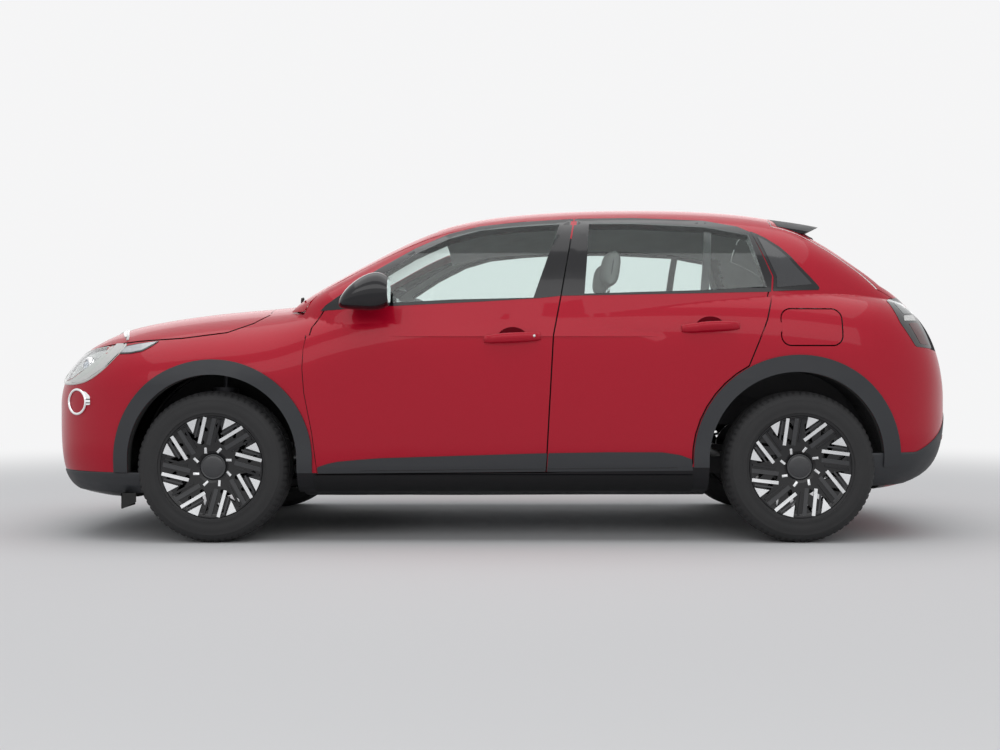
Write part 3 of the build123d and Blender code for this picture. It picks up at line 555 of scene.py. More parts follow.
PAINT = paint_material("paint_red")
PAINT_BLACK = paint_material("paint_over_black", below(0.306))
PAINT_SILL = paint_material("paint_over_sill", below(0.332))
PAINT_DOOR = paint_material("paint_under_frame", above_belt)
GLOSS_BLACK = simple("gloss_black", (0.006, 0.006, 0.008), 0.16, coat=0.35, rough_vary=0.02, spec=0.3)
SATIN_BLACK = simple("satin_black", (0.01, 0.011, 0.013), 0.5, rough_vary=0.04, spec=0.25)
# near black: the sill's own black moulding, darkened further with painted shade for the shadow under the
# car's side
SILL_BLACK_AND_SHADE = simple("sill_black_and_painted_shade", (0.0035, 0.0035, 0.0045), 0.6, grain=900.0, spec=0.3)
CLADDING = simple("cladding_dark_grey", (0.02, 0.022, 0.026), 0.55, grain=1400.0, grain_depth=0.0004,
                  grain_strength=0.35)
UNDER = simple("underbody_black", (0.012, 0.012, 0.012), 0.8, grain=300.0, grain_depth=0.001)
RUBBER = simple("seal_rubber", (0.012, 0.012, 0.012), 0.65, grain=800.0)
TYRE = simple("tyre_rubber", (0.016, 0.016, 0.017), 0.72, grain=500.0, grain_depth=0.0004, vary=0.25)
ALLOY = simple("satin_alloy", (0.56, 0.57, 0.58), 0.32, metal=1.0, grain=600.0, grain_strength=0.08)
QUARTER_TINT = simple("quarter_tint", (0.02, 0.022, 0.026), 0.1, coat=0.5, vary=0.25)
SILVER = simple("silver_paint", (0.8, 0.81, 0.82), 0.28, metal=0.55, coat=0.6)
DARK_GREY = simple("dark_grey_paint", (0.026, 0.027, 0.03), 0.4, coat=0.3)
COVER_BLACK = simple("cover_black", (0.004, 0.004, 0.005), 0.35)
CAST = simple("cast_metal", (0.09, 0.09, 0.1), 0.6, metal=0.8, grain=260.0, grain_depth=0.0008)
STEEL = simple("steel_black_paint", (0.02, 0.02, 0.022), 0.45, grain=200.0)
CHROME = simple("bright_chrome", (0.9, 0.9, 0.91), 0.06, metal=1.0, vary=0.03, rough_vary=0.02)
SEAT = simple("seat_cloth", (0.03, 0.03, 0.033), 0.9, grain=1200.0, grain_depth=0.0008, grain_strength=0.6)
SEAT_LIGHT = simple("seat_cloth_grey", (0.36, 0.37, 0.36), 0.9, grain=1200.0, grain_depth=0.0008,
                    grain_strength=0.6)
TRIM = simple("cabin_trim_dark", (0.03, 0.03, 0.032), 0.7, grain=900.0, grain_depth=0.0004)
LINER = simple("headliner_grey", (0.84, 0.85, 0.84), 0.92, grain=1500.0, grain_depth=0.0006,
               grain_strength=0.5)
PILLAR = simple("pillar_trim", (0.46, 0.48, 0.47), 0.8, grain=1100.0, grain_depth=0.0003)
CARPET = simple("floor_carpet", (0.035, 0.035, 0.037), 0.95, grain=700.0, grain_depth=0.002,
                grain_strength=0.8)
# painted shade: a dark red for the body paint in shadow inside the handles' recesses
WELL_PAINTED_SHADE = simple("handle_well_red", (0.11, 0.0008, 0.006), 0.6, vary=0.15, spec=0.05)
LAMP_BOWL = simple("lamp_bowl", (0.66, 0.69, 0.66), 0.5, metal=0.0, vary=0.08, vary_scale=20)
LAMP_FACE_GREY = simple("lamp_face", (0.56, 0.59, 0.56), 0.22, coat=0.6, vary=0.06, vary_scale=14)
LENS_BRIGHT = simple("projector_glass", (0.62, 0.68, 0.74), 0.04, coat=1.0, vary=0.2, vary_scale=60)
SMOKE = simple("smoked_lens", (0.022, 0.023, 0.025), 0.14, coat=0.35, vary=0.4, vary_scale=40)
TAIL_GREY = simple("tail_grey", (0.16, 0.17, 0.17), 0.2, coat=0.4, vary=0.3, vary_scale=60)
RED_LENS = simple("tail_red", (0.075, 0.006, 0.009), 0.15, coat=0.4, vary=0.3, vary_scale=80)
MARKER = simple("marker_lens", (0.48, 0.5, 0.52), 0.15, coat=0.6, vary=0.25, vary_scale=50)
GUIDE = simple("light_guide", (0.6, 0.6, 0.585), 0.22, coat=0.4, vary=0.05)
PIPING = simple("seat_piping", (0.16, 0.16, 0.165), 0.7, grain=900.0)
MIRROR_GLASS = simple("mirror_glass", (0.75, 0.77, 0.79), 0.03, metal=1.0, vary=0.03, rough_vary=0.01)
PLATE = simple("blank_plate", (0.8, 0.8, 0.78), 0.35, coat=0.3, vary=0.03)
REFLECTOR = simple("reflector_red", (0.35, 0.01, 0.012), 0.2, coat=1.0, vary=0.3, vary_scale=150)
GLASS = glass("clear_glass", (0.8, 0.88, 0.86))
SCREEN = glass("windscreen_glass", (0.84, 0.9, 0.88), ior=1.16)
GLASS_DARK = glass("rear_tint", (0.16, 0.18, 0.18))
LENS = glass("lamp_lens", (0.96, 0.97, 0.98))
LENS_RED = glass("lamp_lens_red", (0.65, 0.02, 0.03))


def dress(node, *materials):
    """Give a carried-over CAD node its finish."""
    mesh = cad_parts[node].data
    mesh.materials.clear()
    for mat in materials:
        mesh.materials.append(mat)


# ---- floor, backdrop, lights, camera
BACKGROUND = (0.915, 0.915, 0.92, 1)
FLOOR = (0.72, 0.72, 0.725, 1)
FADE_FROM, FADE_TO = 2.5, 8.5  # where the floor begins to run out and where it is all background


def stage_material():
    """A pale floor that keeps the shadow near the car and runs out into the plain background."""
    mat, nt, bsdf = new_material("studio_floor")
    where = add_node(nt, "TexCoord").outputs["Object"]
    away = add_node(nt, "VectorMath", {0: where}, operation="LENGTH").outputs["Value"]
    fade = add_node(nt, "MapRange", {"From Min": FADE_FROM, "From Max": FADE_TO, "Value": away},
                    interpolation_type="SMOOTHERSTEP")
    near = add_node(nt, "BsdfDiffuse", {"Color": FLOOR})
    far = add_node(nt, "Emission", {"Color": BACKGROUND})
    mix = add_node(nt, "MixShader", {0: fade.outputs[0], 1: near.outputs[0], 2: far.outputs[0]})
    out = bsdf.outputs[0].links[0].to_node
    nt.nodes.remove(bsdf)
    feed(nt, out, {0: mix.outputs[0]})
    return mat


bpy.ops.mesh.primitive_plane_add(size=160, location=(0, 0, 0))
floor = bpy.context.object
floor.name = "floor"
floor.data.materials.append(stage_material())

scene = bpy.context.scene
scene.view_settings.view_transform = "Standard"
world = bpy.data.worlds.new("studio")
scene.world = world
world.use_nodes = True
wn = world.node_tree
wn.nodes.clear()
rays = add_node(wn, "LightPath").outputs
seen = math_node(wn, "MAXIMUM", rays["Is Camera Ray"], rays["Is Transmission Ray"])
seen = math_node(wn, "MAXIMUM", seen, rays["Is Glossy Ray"])
lit = add_node(wn, "Background", {"Color": (0.9, 0.92, 0.95, 1), "Strength": 0.42})
plain = add_node(wn, "Background", {"Color": BACKGROUND, "Strength": 1.0})
mixed = add_node(wn, "MixShader", {0: seen, 1: lit.outputs[0], 2: plain.outputs[0]})
add_node(wn, "OutputWorld", {0: mixed.outputs[0]})


def softbox(name, at, aim, size, power, size_y):
    light = bpy.data.lights.new(name, "AREA")
    light.shape = "RECTANGLE"
    light.size = size
    light.size_y = size_y
    light.energy = power
    obj = bpy.data.objects.new(name, light)
    bpy.context.collection.objects.link(obj)
    obj.location = at
    obj.rotation_euler = (Vector(aim) - Vector(at)).to_track_quat("-Z", "Y").to_euler()


softbox("top_box", (0, -0.5, 5.5), (0, 0, 0.5), 9.0, 200, 6.0)
softbox("near_box", (0, -8.5, 4.6), (0, 0, 0.7), 14.0, 190, 3.5)
softbox("far_box", (0, 7.5, 4.0), (0, 0, 0.8), 12.0, 100, 3.5)

CAMERA_AT = (0.142, -6.42, 0.732)
CAMERA_LENS = 46.0  # mm
CAMERA_SHIFT = -0.031  # a share of the picture's width
cam_data = bpy.data.cameras.new("camera")
cam_data.lens = CAMERA_LENS
cam_data.sensor_width = 36.0
cam_data.shift_x = CAMERA_SHIFT
cam = bpy.data.objects.new("camera", cam_data)
bpy.context.collection.objects.link(cam)
cam.location = CAMERA_AT
cam.rotation_euler = (math.radians(90), 0, 0)
cam_data.clip_start = 0.05
scene.camera = cam


# ---- CAD nodes: finishes
DOORWAY_TOP = ([-0.79, -0.552, -0.225, 0.273, 0.921, 1.162, 1.214], [1.02, 1.2, 1.378, 1.444, 1.44, 1.38,
        1.18])


def in_doorway(at):
    """Whether a point lies beside the doors' window frames, where the shell's edges are black."""
    return -0.8 < at.x < 1.245 and 1.03 < at.z < np.interp(at.x, *DOORWAY_TOP) + 0.03 and abs(at.y) > 0.56


def shell_lining(at):
    if in_doorway(at) and abs(at.y) > 0.6:
        return SATIN_BLACK
    if not (abs(at.y) < 0.8 and -0.8 < at.x < 1.95 and at.z > 0.33):
        return UNDER
    if at.z > 1.02:
        return LINER
    return CARPET if at.z < 0.6 else TRIM


def dress_shell(node, outer, inner):
    """Painted where a face lies on the outer form, and a lining wherever else its faces look."""
    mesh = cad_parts[node].data
    slots = [outer]
    index = []
    for poly in mesh.polygons:
        off = FORM_TREE.find_nearest(poly.center)[3]
        near = DOORWAY_REACH if inner is shell_lining and in_doorway(poly.center) else SKIN_REACH
        mat = outer if off is not None and off < near else inner(poly.center)
        if mat not in slots:
            slots.append(mat)
        index.append(slots.index(mat))
    dress(node, *slots)
    mesh.polygons.foreach_set("material_index", np.array(index, np.int32))
    smooth_panel(node)


dress_shell("body_shell", PAINT_SILL, shell_lining)
dress_shell("roof_panel", PAINT, lambda at: LINER)
dress_shell("tailgate", PAINT, lambda at: LINER if at.z > 1.1 else TRIM)
for name in ("front_fenders", "front_bumper", "rear_bumper", "bonnet", "charge_flap"):
    dress_shell(name, PAINT_BLACK if name[:5] == "front" else PAINT, lambda at: UNDER)
for side, out in SIDES:
    for end in ("front", "rear"):
        dress_shell(f"door_{end}_{side}", PAINT_DOOR, lambda at: PILLAR if at.z > 1.06 else TRIM)
        dress(f"door_glass_{end}_{side}", GLASS)
        dress(f"wheel_{end}_{side}", COVER_BLACK)
    dress("mirror_" + side, GLOSS_BLACK)
    dress("knuckle_" + side, CAST)
for name, mat in (("windscreen", SCREEN), ("tailgate_glass", GLASS_DARK), ("headlamps", LENS),
                  ("tail_lamps", LENS_RED), ("battery_pack", ALLOY), ("drive_motor", ALLOY),
                  ("rear_axle", STEEL), ("front_suspension", STEEL), ("front_seats", SEAT),
                  ("rear_bench", SEAT), ("dashboard", TRIM), ("steering_wheel", TRIM)):
    dress(name, mat)
for name, mat in (("spoiler", SATIN_BLACK), ("arch_cladding", CLADDING), ("sill_cladding", SILL_BLACK_AND_SHADE)):
    dress(name, mat)
    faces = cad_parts[name].data.polygons
    faces.foreach_set("use_smooth", np.ones(len(faces), bool))


# ---- tyres
PITCHES, PER_PITCH = 68, 4  # tread blocks round a tyre, and points along each
PLAIN_R = 0.3155  # inside this radius the sidewall is plain
LUG_DEEP, BLOCK_DEEP, SIPE_DEEP = 0.0055, 0.005, 0.003


def tyre(end, side, x, out):
    """A road tyre: beaded sidewalls, shoulder lugs, four grooves and staggered tread blocks."""
    wall = [(0.22, 0.086), (0.223, 0.094), (0.228, 0.0975), (0.233, 0.0985), (0.236, 0.1035), (0.24, 0.1045),
            (0.244, 0.103), (0.256, 0.106), (0.268, 0.107), (0.28, 0.1066), (0.29, 0.1045),
            (0.2925, 0.105), (0.296, 0.1045), (0.2985, 0.1025), (0.306, 0.0985), (0.313, 0.0935),
            (0.3185, 0.088), (0.3235, 0.0815)]
    tread = [(0.3262, 0.077), (0.3285, 0.07), (0.3292, 0.062), (0.3296, 0.056), (0.3297, 0.0545),
             (0.3215, 0.0535), (0.3215, 0.0465), (0.33, 0.0455), (0.3306, 0.033), (0.3309, 0.0195),
             (0.3235, 0.0185), (0.3235, 0.0115), (0.331, 0.0105), (0.331, 0.0)]
    profile = wall + tread
    profile = profile + [(r, -y) for r, y in reversed(profile[:-1])]

    def wave(i, k):
        r, y = profile[k]
        y = abs(y)
        if r < PLAIN_R:
            return 0.0
        if y > 0.055:
            return -LUG_DEEP * min(1.0, (y - 0.05) / 0.02) if i % PER_PITCH == 0 and y < 0.09 else 0.0
        if 0.0205 < y < 0.045 and (i + int(y * 60)) % (2 * PER_PITCH) == 0:
            return -BLOCK_DEEP
        return -SIPE_DEEP if y < 0.0105 and (i + 2) % (2 * PER_PITCH) == 0 else 0.0

    obj = revolved(f"tyre_dress_{end}_{side}", profile, (x, out * WHEEL_Y, HUB_Z), (0, out, 0),
                   PITCHES * PER_PITCH, TYRE, f"road_wheel_{end}_{side}", wave)
    obj.modifiers.new("edges", "EDGE_SPLIT").split_angle = math.radians(38)
    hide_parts("tyre_%s_%s" % (end, side))


# ---- wheel covers
SPOKES = 8
COVER_BACK = -0.006  # how far bars and slats reach back behind the cover's face
NUTS, NUT_CIRCLE, NUT_R = 5, 0.034, 0.0085
VALVE_CIRCLE = 0.176


def bar_outline(a, b, width):
    a, b = Vector(a), Vector(b)
    n = (b - a).normalized().orthogonal() * width / 2
    return [a + n, b + n, b - n, a - n]


def turned(points, angle):
    c, s_ = math.cos(angle), math.sin(angle)
    return [(p[0] * c - p[1] * s_, p[0] * s_ + p[1] * c) for p in points]


def cover_height(r):
    """How far the cover's dished face stands out of the wheel's middle plane, in metres."""
    return float(np.interp(r, [0.0, 0.035, 0.055, 0.07, 0.15, 0.205, 0.222],
                           [0.062, 0.062, 0.066, 0.078, 0.084, 0.088, 0.094]))


def wheel_cover(end, side, x, out, phase):
    """The bolt-on cover: bright bars and wedges, dark slats between them, a hub cap and a rim edge."""
    tag = f"{end}_{side}"
    body = "road_wheel_" + tag

    def place(u, v, w):
        return Vector((x - out * u, out * (WHEEL_Y + cover_height(math.hypot(u, v)) + w), HUB_Z + v))

    wedge = mm([(59.7, 212.3), (82.5, 204.0), (104.4, 193.9), (44.7, 161.6)])
    long_bar = mm(bar_outline((-28.3, 217.5), (-57, 102), 15))
    short_bar = mm(bar_outline((-29.8, 84), (-29.8, 58), 11))
    slats = [(mm(bar_outline((12, 216), (-18, 96), 19)), 0.0005), (mm(bar_outline((36, 206), (8, 108), 10)),
            0.003), (mm(bar_outline((-52, 209), (-74, 128), 8)), 0.003)]
    bright, dark, gloss = [], [], []
    for k in range(SPOKES):
        angle = k * math.tau / SPOKES + phase
        for outline in (wedge, long_bar, short_bar):
            bright.append(prism_mesh(turned(outline, angle), COVER_BACK, 0.0042, place, 0.0011))
        for (outline, rise), group in zip(slats, (dark, gloss, dark)):
            group.append(prism_mesh(turned(outline, angle), COVER_BACK, rise + 0.001, place, 0.001))
    joined("cover_bright_" + tag, bright, SILVER, body)
    joined("cover_slats_" + tag, dark, DARK_GREY, body)
    joined("cover_ribs_" + tag, gloss, GLOSS_BLACK, body)
    centre = (x, out * WHEEL_Y, HUB_Z)
    cap = [(0.0, 0.0755), (0.02, 0.0752), (0.038, 0.0738), (0.046, 0.0715), (0.049, 0.07), (0.05, 0.0712),
           (0.053, 0.0716), (0.056, 0.069), (0.0565, 0.06)]
    edge = [(0.205, 0.0888), (0.215, 0.0925), (0.2185, 0.0955), (0.2205, 0.096), (0.2215, 0.094),
            (0.2215, 0.086)]
    revolved("cover_cap_" + tag, cap, centre, (0, out, 0), 48, DARK_GREY, body)
    revolved("cover_edge_" + tag, edge, centre, (0, out, 0), 96, GLOSS_BLACK, body)
    nuts = []
    for k in range(NUTS):
        u, v = turned([(NUT_CIRCLE, 0.0)], k * math.tau / NUTS + 0.3)[0]
        hexagon = [(u + NUT_R * math.cos(j * math.tau / 6), v + NUT_R * math.sin(j * math.tau / 6))
                   for j in range(6)]
        nuts.append(prism_mesh(hexagon, -0.09, -0.078, place, 0.001))
    joined("wheel_nuts_" + tag, nuts, STEEL, body)
    stem = place(*turned([(VALVE_CIRCLE, 0.0)], phase + 0.6)[0], -0.004)
    tube("valve_" + tag, [stem, stem + Vector((0, out * 0.014, 0))], 0.0042, RUBBER, body, 10)


for end, x, phase in (("front", FRONT_X, 0.0), ("rear", REAR_X, math.radians(7.2))):
    for side, out in SIDES:
        tyre(end, side, x, out)
        wheel_cover(end, side, x, out, phase)


# ---- windows and side trim
FRONT_GLASS = mm([(-520, 1172), (-377, 1267), (-225, 1342), (-88, 1382), (90, 1400), (272, 1411), (153, 1070),
                  (-200, 1062), (-500, 1046)])
REAR_GLASS = mm([(403, 1412), (600, 1412), (920, 1396), (1111, 1358), (1180, 1122), (886, 1104), (376, 1088)])
FRONT_BLACK = mm([(-788, 1014), (-764, 1040), (-682, 1097), (-552, 1193), (-377, 1299), (-225, 1371),
                  (-88, 1408), (100, 1428), (335, 1442), (270, 1079), (180, 1069), (-82, 1053), (-469, 1034)])
REAR_BLACK = mm([(276.5, 1079), (342, 1442), (597, 1447), (921, 1433), (1076, 1402), (1130, 1374),
                 (1208.5, 1170), (1201, 1099), (884, 1091)])
QUARTER = mm([(1128, 1379), (1160, 1364), (1193, 1346), (1254, 1304), (1298, 1263), (1340, 1214),
              (1384, 1168), (1424, 1122), (1422, 1110), (1209.5, 1102), (1215.5, 1168)])
QUARTER_GLASS = mm([(1155, 1352), (1190, 1334), (1246, 1292), (1290, 1250), (1330, 1202), (1391, 1134),
                    (1226, 1118), (1229, 1170)])
FRONT_STRIP = mm([(-785, 304), (-788, 331), (-742, 346), (-699, 355), (-600, 364), (-516, 370), (-160, 381),
                  (212, 392), (204.5, 312)])
REAR_STRIP = mm([(210.5, 312), (218, 392), (480, 396), (711, 396), (790, 384), (841, 366), (843, 340),
                 (846, 317)])
WINDOW_BAR = mm([(921, 1399), (954, 1391), (926, 1104), (889, 1102)])

for side, out in SIDES:
    for end, black, pane in (("front", FRONT_BLACK, FRONT_GLASS), ("rear", REAR_BLACK, REAR_GLASS)):
        slab(f"window_frame_{end}_{side}", black, [shrunk(pane, PANE_GAP)], side, 0.0012, 0.0028, GLOSS_BLACK,
             f"{end}_door_{side}", 0.035, 0.03)
    patch("quarter_trim", QUARTER, side, 0.0022, 0.004, GLOSS_BLACK)
    patch("quarter_glass", QUARTER_GLASS, side, 0.0042, 0.002, QUARTER_TINT, r=0.008)
    for end, strip in (("front", FRONT_STRIP), ("rear", REAR_STRIP)):
        patch("door_strip_" + end, strip, side, 0.0065, 0.0075, CLADDING,
              f"{end}_door_{side}", 0.04, 0.004, 2)
    slab("window_bar_rear_" + side, WINDOW_BAR, (), side, -0.012, 0.014, GLOSS_BLACK, "rear_door_" + side,
         0.04)


# ---- door handles
GRIP_BOW = 0.026  # how far the middle of a grip stands out beyond its feet
WELL_U, WELL_V = 0.064, 0.046  # half length and height of the painted shade that stands for the recess


def handle(end, side, x0, x1, z):
    """A pull handle: a bowed grip on two feet over an arched dark red sheet of painted shade where the recess
    lies.
    """
    body = f"{end}_door_{side}"
    count, ring = 15, 14
    verts = []
    for k in range(count + 1):
        t = k / count
        p, n = skin_at(x0 + (x1 - x0) * t, z + 0.012 * (t - 0.5), side)
        bow = math.sin(math.pi * t) ** 0.6 if 0 < t < 1 else 0.0
        mid = p + n * (0.004 + GRIP_BOW * bow)
        high, thick = Vector((0, 0, 0.0145 + 0.006 * bow)), n * (0.0065 + 0.003 * bow)
        verts += [mid + high * math.cos(math.tau * j / ring) + thick * math.sin(math.tau * j / ring)
                  for j in range(ring)]
    faces = strips(count + 1, ring) + [range(ring), range(count * ring, (count + 1) * ring)[::-1]]
    add_mesh(f"handle_{end}_{side}", verts, faces, PAINT, body)
    # the recess is not cut; a thin dark red sheet on the skin paints its shade
    arch = np.linspace(math.radians(-8), math.radians(188), 22)
    well = [((x0 + x1) / 2 + WELL_U * math.cos(a), z + 0.002 + WELL_V * math.sin(a)) for a in arch]
    slab(f"handle_well_{end}_{side}", well, (), side, 0.0008, 0.001, WELL_PAINTED_SHADE, body, 0.02)


for side, out in SIDES:
    handle("front", side, -0.062, 0.185, 0.893)
    handle("rear", side, 0.797, 1.049, 0.9395)
lock_at, lock_way = skin_at(0.156, 0.899, "left")
revolved("door_lock", [(0.0, 0.002), (0.0045, 0.0018), (0.006, 0.0008), (0.0062, -0.004)],
         lock_at + lock_way * 0.0265, lock_way, 24, ALLOY, "front_door_left")


# ---- headlamps, light guides, markers and fog rings; outlines in millimetres
def on_side(points, side, lift):
    """Points a little off the skin along a line in the side view, given in millimetres."""
    return [p + n * lift for p, n in (skin_at(u / 1000, v / 1000, side) for u, v in points)]


LENS_LOW = mm([(-1996, 800), (-2006, 765), (-2004, 728), (-1985, 706), (-1950, 703), (-1905, 722),
               (-1837, 766), (-1775, 818), (-1752, 852), (-1762, 859), (-1850, 848), (-1957, 826)])
LAMP_FACE = mm([(-2003, 806), (-2013, 765), (-2011, 726), (-1988, 700), (-1950, 696), (-1890, 697),
                (-1820, 714), (-1746, 761), (-1694, 819), (-1673, 850), (-1678, 868), (-1762, 860.5),
                (-1850, 851), (-1957, 831)])
LAMP_RIM = [(-1970, 695), (-1935, 693), (-1890, 694.5), (-1820, 711), (-1744, 758), (-1691, 817),
            (-1668, 852)]
RING_OUT = [(-2016, 745), (-2006, 712), (-1980, 696), (-1948, 692), (-1890, 694), (-1820, 711), (-1747, 757),
            (-1694, 816), (-1669, 854), (-1676, 893), (-1700, 918), (-1742, 934), (-1838, 917), (-1925, 876),
            (-1985, 818), (-2010, 775)]

CRESCENT = {  # the guide's broad outer side, below and above the bonnet's shut-line
    "low": [(-1676, 868), (-1669, 852), (-1692, 818), (-1745, 760), (-1820, 713), (-1867, 698), (-1920, 696),
            (-1921, 705), (-1869, 711), (-1820, 734), (-1774, 772), (-1740, 812), (-1722, 844), (-1716, 868)],
    "high": [(-1742, 935), (-1716, 927), (-1694, 912),
             (-1681, 899), (-1694, 897), (-1712, 909), (-1738, 922)]}
MARKER_OUT = mm([(-1684, 824), (-1662, 860), (-1600, 872), (-1508, 882), (-1533, 860), (-1574, 836),
                 (-1628, 826)])
SHUT_LINE = ([-2100, -1957, -1762, -1600], [800, 836, 868, 886])  # of the bonnet, where the guide is split
SHUT_CLEAR = 4  # how far the guide stays from that line
FOG_U, FOG_V = -1876, 613


def headlamp(side, out):
    opening = soft(LENS_LOW, 0.02, 3)
    lens = slab("headlamp_lens_" + side, opening, (), side, 0.0012, 0.005, LENS, "body", 0.02)
    if side == "left":
        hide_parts("headlamps")
    patch("headlamp_bowl", shrunk(LENS_LOW, 0.004), side, -0.014, 0.004, LAMP_BOWL, "body", 0.02, 0.02)
    slab("headlamp_surround_" + side, soft(LAMP_FACE, 0.02, 3), [opening], side, 0.0018, 0.004,
         LAMP_FACE_GREY)
    corner = [(out * u, v) for u, v in ((0.39, 0.688), (0.52, 0.688), (0.5, 0.745), (0.44, 0.795),
                                        (0.39, 0.818))]
    slab("lamp_corner_" + side, corner, (), "front", 0.0008, 0.0016, PAINT, "body", 0.02)
    tube("headlamp_rim_" + side, on_side(curve(LAMP_RIM, 6), side, 0.0035), 0.003, GLOSS_BLACK)
    eye = on_side([(-1868, 772)], side, -0.018)[0]
    way = (-0.8, out * 0.6, 0.0)
    bezel = [(0.052, -0.02), (0.05, -0.004), (0.046, 0.004), (0.041, 0.002), (0.036, -0.01)]
    revolved("projector_bezel_" + side, bezel, eye, way, 40, CHROME)
    dome = [(0.0, 0.012), (0.012, 0.0112), (0.024, 0.0075), (0.033, 0.001), (0.038, -0.008)]
    revolved("projector_lens_" + side, dome, eye, way, 40, LENS_BRIGHT)


def split_ring():
    """The guide's closed outline in two lines, below and above the bonnet's shut-line."""
    below_line, above_line = [], []
    for u, v in curve(RING_OUT + RING_OUT[:1], 6):
        off = v - np.interp(u, *SHUT_LINE)
        if abs(off) > SHUT_CLEAR:
            (above_line if off > 0 else below_line).append((u, v))
    ends = [(Vector(b) - Vector(a)).length for a, b in zip(below_line, below_line[1:])]
    cut_at = ends.index(max(ends)) + 1
    return below_line[cut_at:] + below_line[:cut_at], above_line


for side, out in SIDES:
    headlamp(side, out)
    for part, line, r, body in zip(("low", "high"), split_ring(), (0.0062, 0.0065), ("body", "bonnet_lid")):
        tube(f"light_guide_{part}_{side}", on_side(line, side, 0.001), r, GUIDE, body)
    for part, body in (("low", "body"), ("high", "bonnet_lid")):
        patch("light_crescent_" + part, mm(CRESCENT[part]), side, 0.0075, 0.01, GUIDE, body, 0.02, 0.004, 2)
    patch("side_marker_rim", MARKER_OUT, side, 0.0022, 0.004, SMOKE, "body", 0.02)
    patch("side_marker", shrunk(MARKER_OUT, 0.005), side, 0.0038, 0.002, MARKER, "body", 0.02, 0.005)
    circle = [(FOG_U + 50 * math.cos(t), FOG_V + 54 * math.sin(t)) for t in np.linspace(0, math.tau, 41)[:-1]]
    tube("fog_ring_" + side, on_side(circle, side, 0.003), 0.0062, CHROME, "body", 10, True)
    wedge = [(FOG_U + du, FOG_V + dv) for du, dv in ((22, 50), (52, 44), (74, 26), (76, -12), (52, -14),
                                                     (46, 20))]
    patch("fog_wedge", mm(wedge), side, 0.005, 0.006, CHROME, "body", 0.012)
    for k, dv in enumerate((-4, 12)):
        line = on_side([(FOG_U + du, FOG_V + dv) for du in (46, 56, 66, 75)], side, 0.0052)
        tube(f"fog_bar_{k}_{side}", line, 0.0024, UNDER)


# ---- tail lamps
TAIL = mm([(1744, 1069), (1822, 1086), (1868, 1052), (1902, 984), (1946, 850), (1846, 857), (1778, 961)])
TAIL_FIELDS = (("grey", mm([(1778, 1058), (1820, 1070), (1854, 1044), (1868, 1008), (1806, 1004)]), 0.003,
                TAIL_GREY, 0.006), ("red", mm([(1822, 962), (1880, 966), (1922, 866), (1872, 870)]), 0.003,
                                    RED_LENS, 0.006), ("clear", mm([(1806, 996), (1868, 1000), (1874, 975),
        (1800, 972)]), 0.004, GUIDE, 0.004))
for side, out in SIDES:
    lens = patch("tail_lens", TAIL, side, 0.002, 0.006, SMOKE, "body", 0.015, 0.01)
    if side == "left":
        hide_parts("tail_lamps")
    patch("tail_back", shrunk(TAIL, -0.004), side, -0.002, 0.03, UNDER, r=0.012)
    for field, outline, lift, mat, r in TAIL_FIELDS:
        patch("tail_" + field, outline, side, lift, 0.002, mat, "body", 0.015, r, 2)


# ---- bumpers
def bumper_band(end, sign, centre_x, low_z, height_at):
    """Dark lower cladding that wraps the bumper from one arch round the middle to the other."""
    columns, rows, lift = 121, 14, 0.0035
    verts = []
    for t in (math.pi * (c / (columns - 1)) - math.pi / 2 for c in range(columns)):
        way = Vector((sign * math.cos(t), math.sin(t), 0))
        for r in range(rows):
            z = low_z + (height_at(t) - low_z) * r / (rows - 1)
            hit, normal = cast(Vector((centre_x, 0, z)) + way * 3, -way)
            verts.append(hit + normal * lift)
    faces = [[a, a + rows, a + rows + 1, a + 1]
             for c in range(columns - 1) for a in range(c * rows, (c + 1) * rows - 1)]
    solid = add_mesh("bumper_low_" + end, verts, faces, CLADDING, "body").modifiers.new("thick", "SOLIDIFY")
    solid.thickness = lift + 0.0015
    solid.offset = -sign


def rear_height(t):
    return 0.392 + 0.19 * min(1.0, max(0.0, (max(0.0, math.cos(t)) - 0.3) / 0.45)) ** 1.2


bumper_band("front", -1, -1.55, 0.215, lambda t: 0.306 - 0.014 * math.cos(t) ** 2)
bumper_band("rear", 1, 1.6, 0.245, rear_height)


# ---- padded places to sit
SEAT_Y = 0.37
CHANNEL = 0.006  # how wide a sewn channel is, and how deep along and across the pad
CHANNEL_DEEP, CROSS_DEEP = 0.008, 0.007
PIPING_R = 0.0026
WELD = 0.0004  # points of a pad nearer than this become one


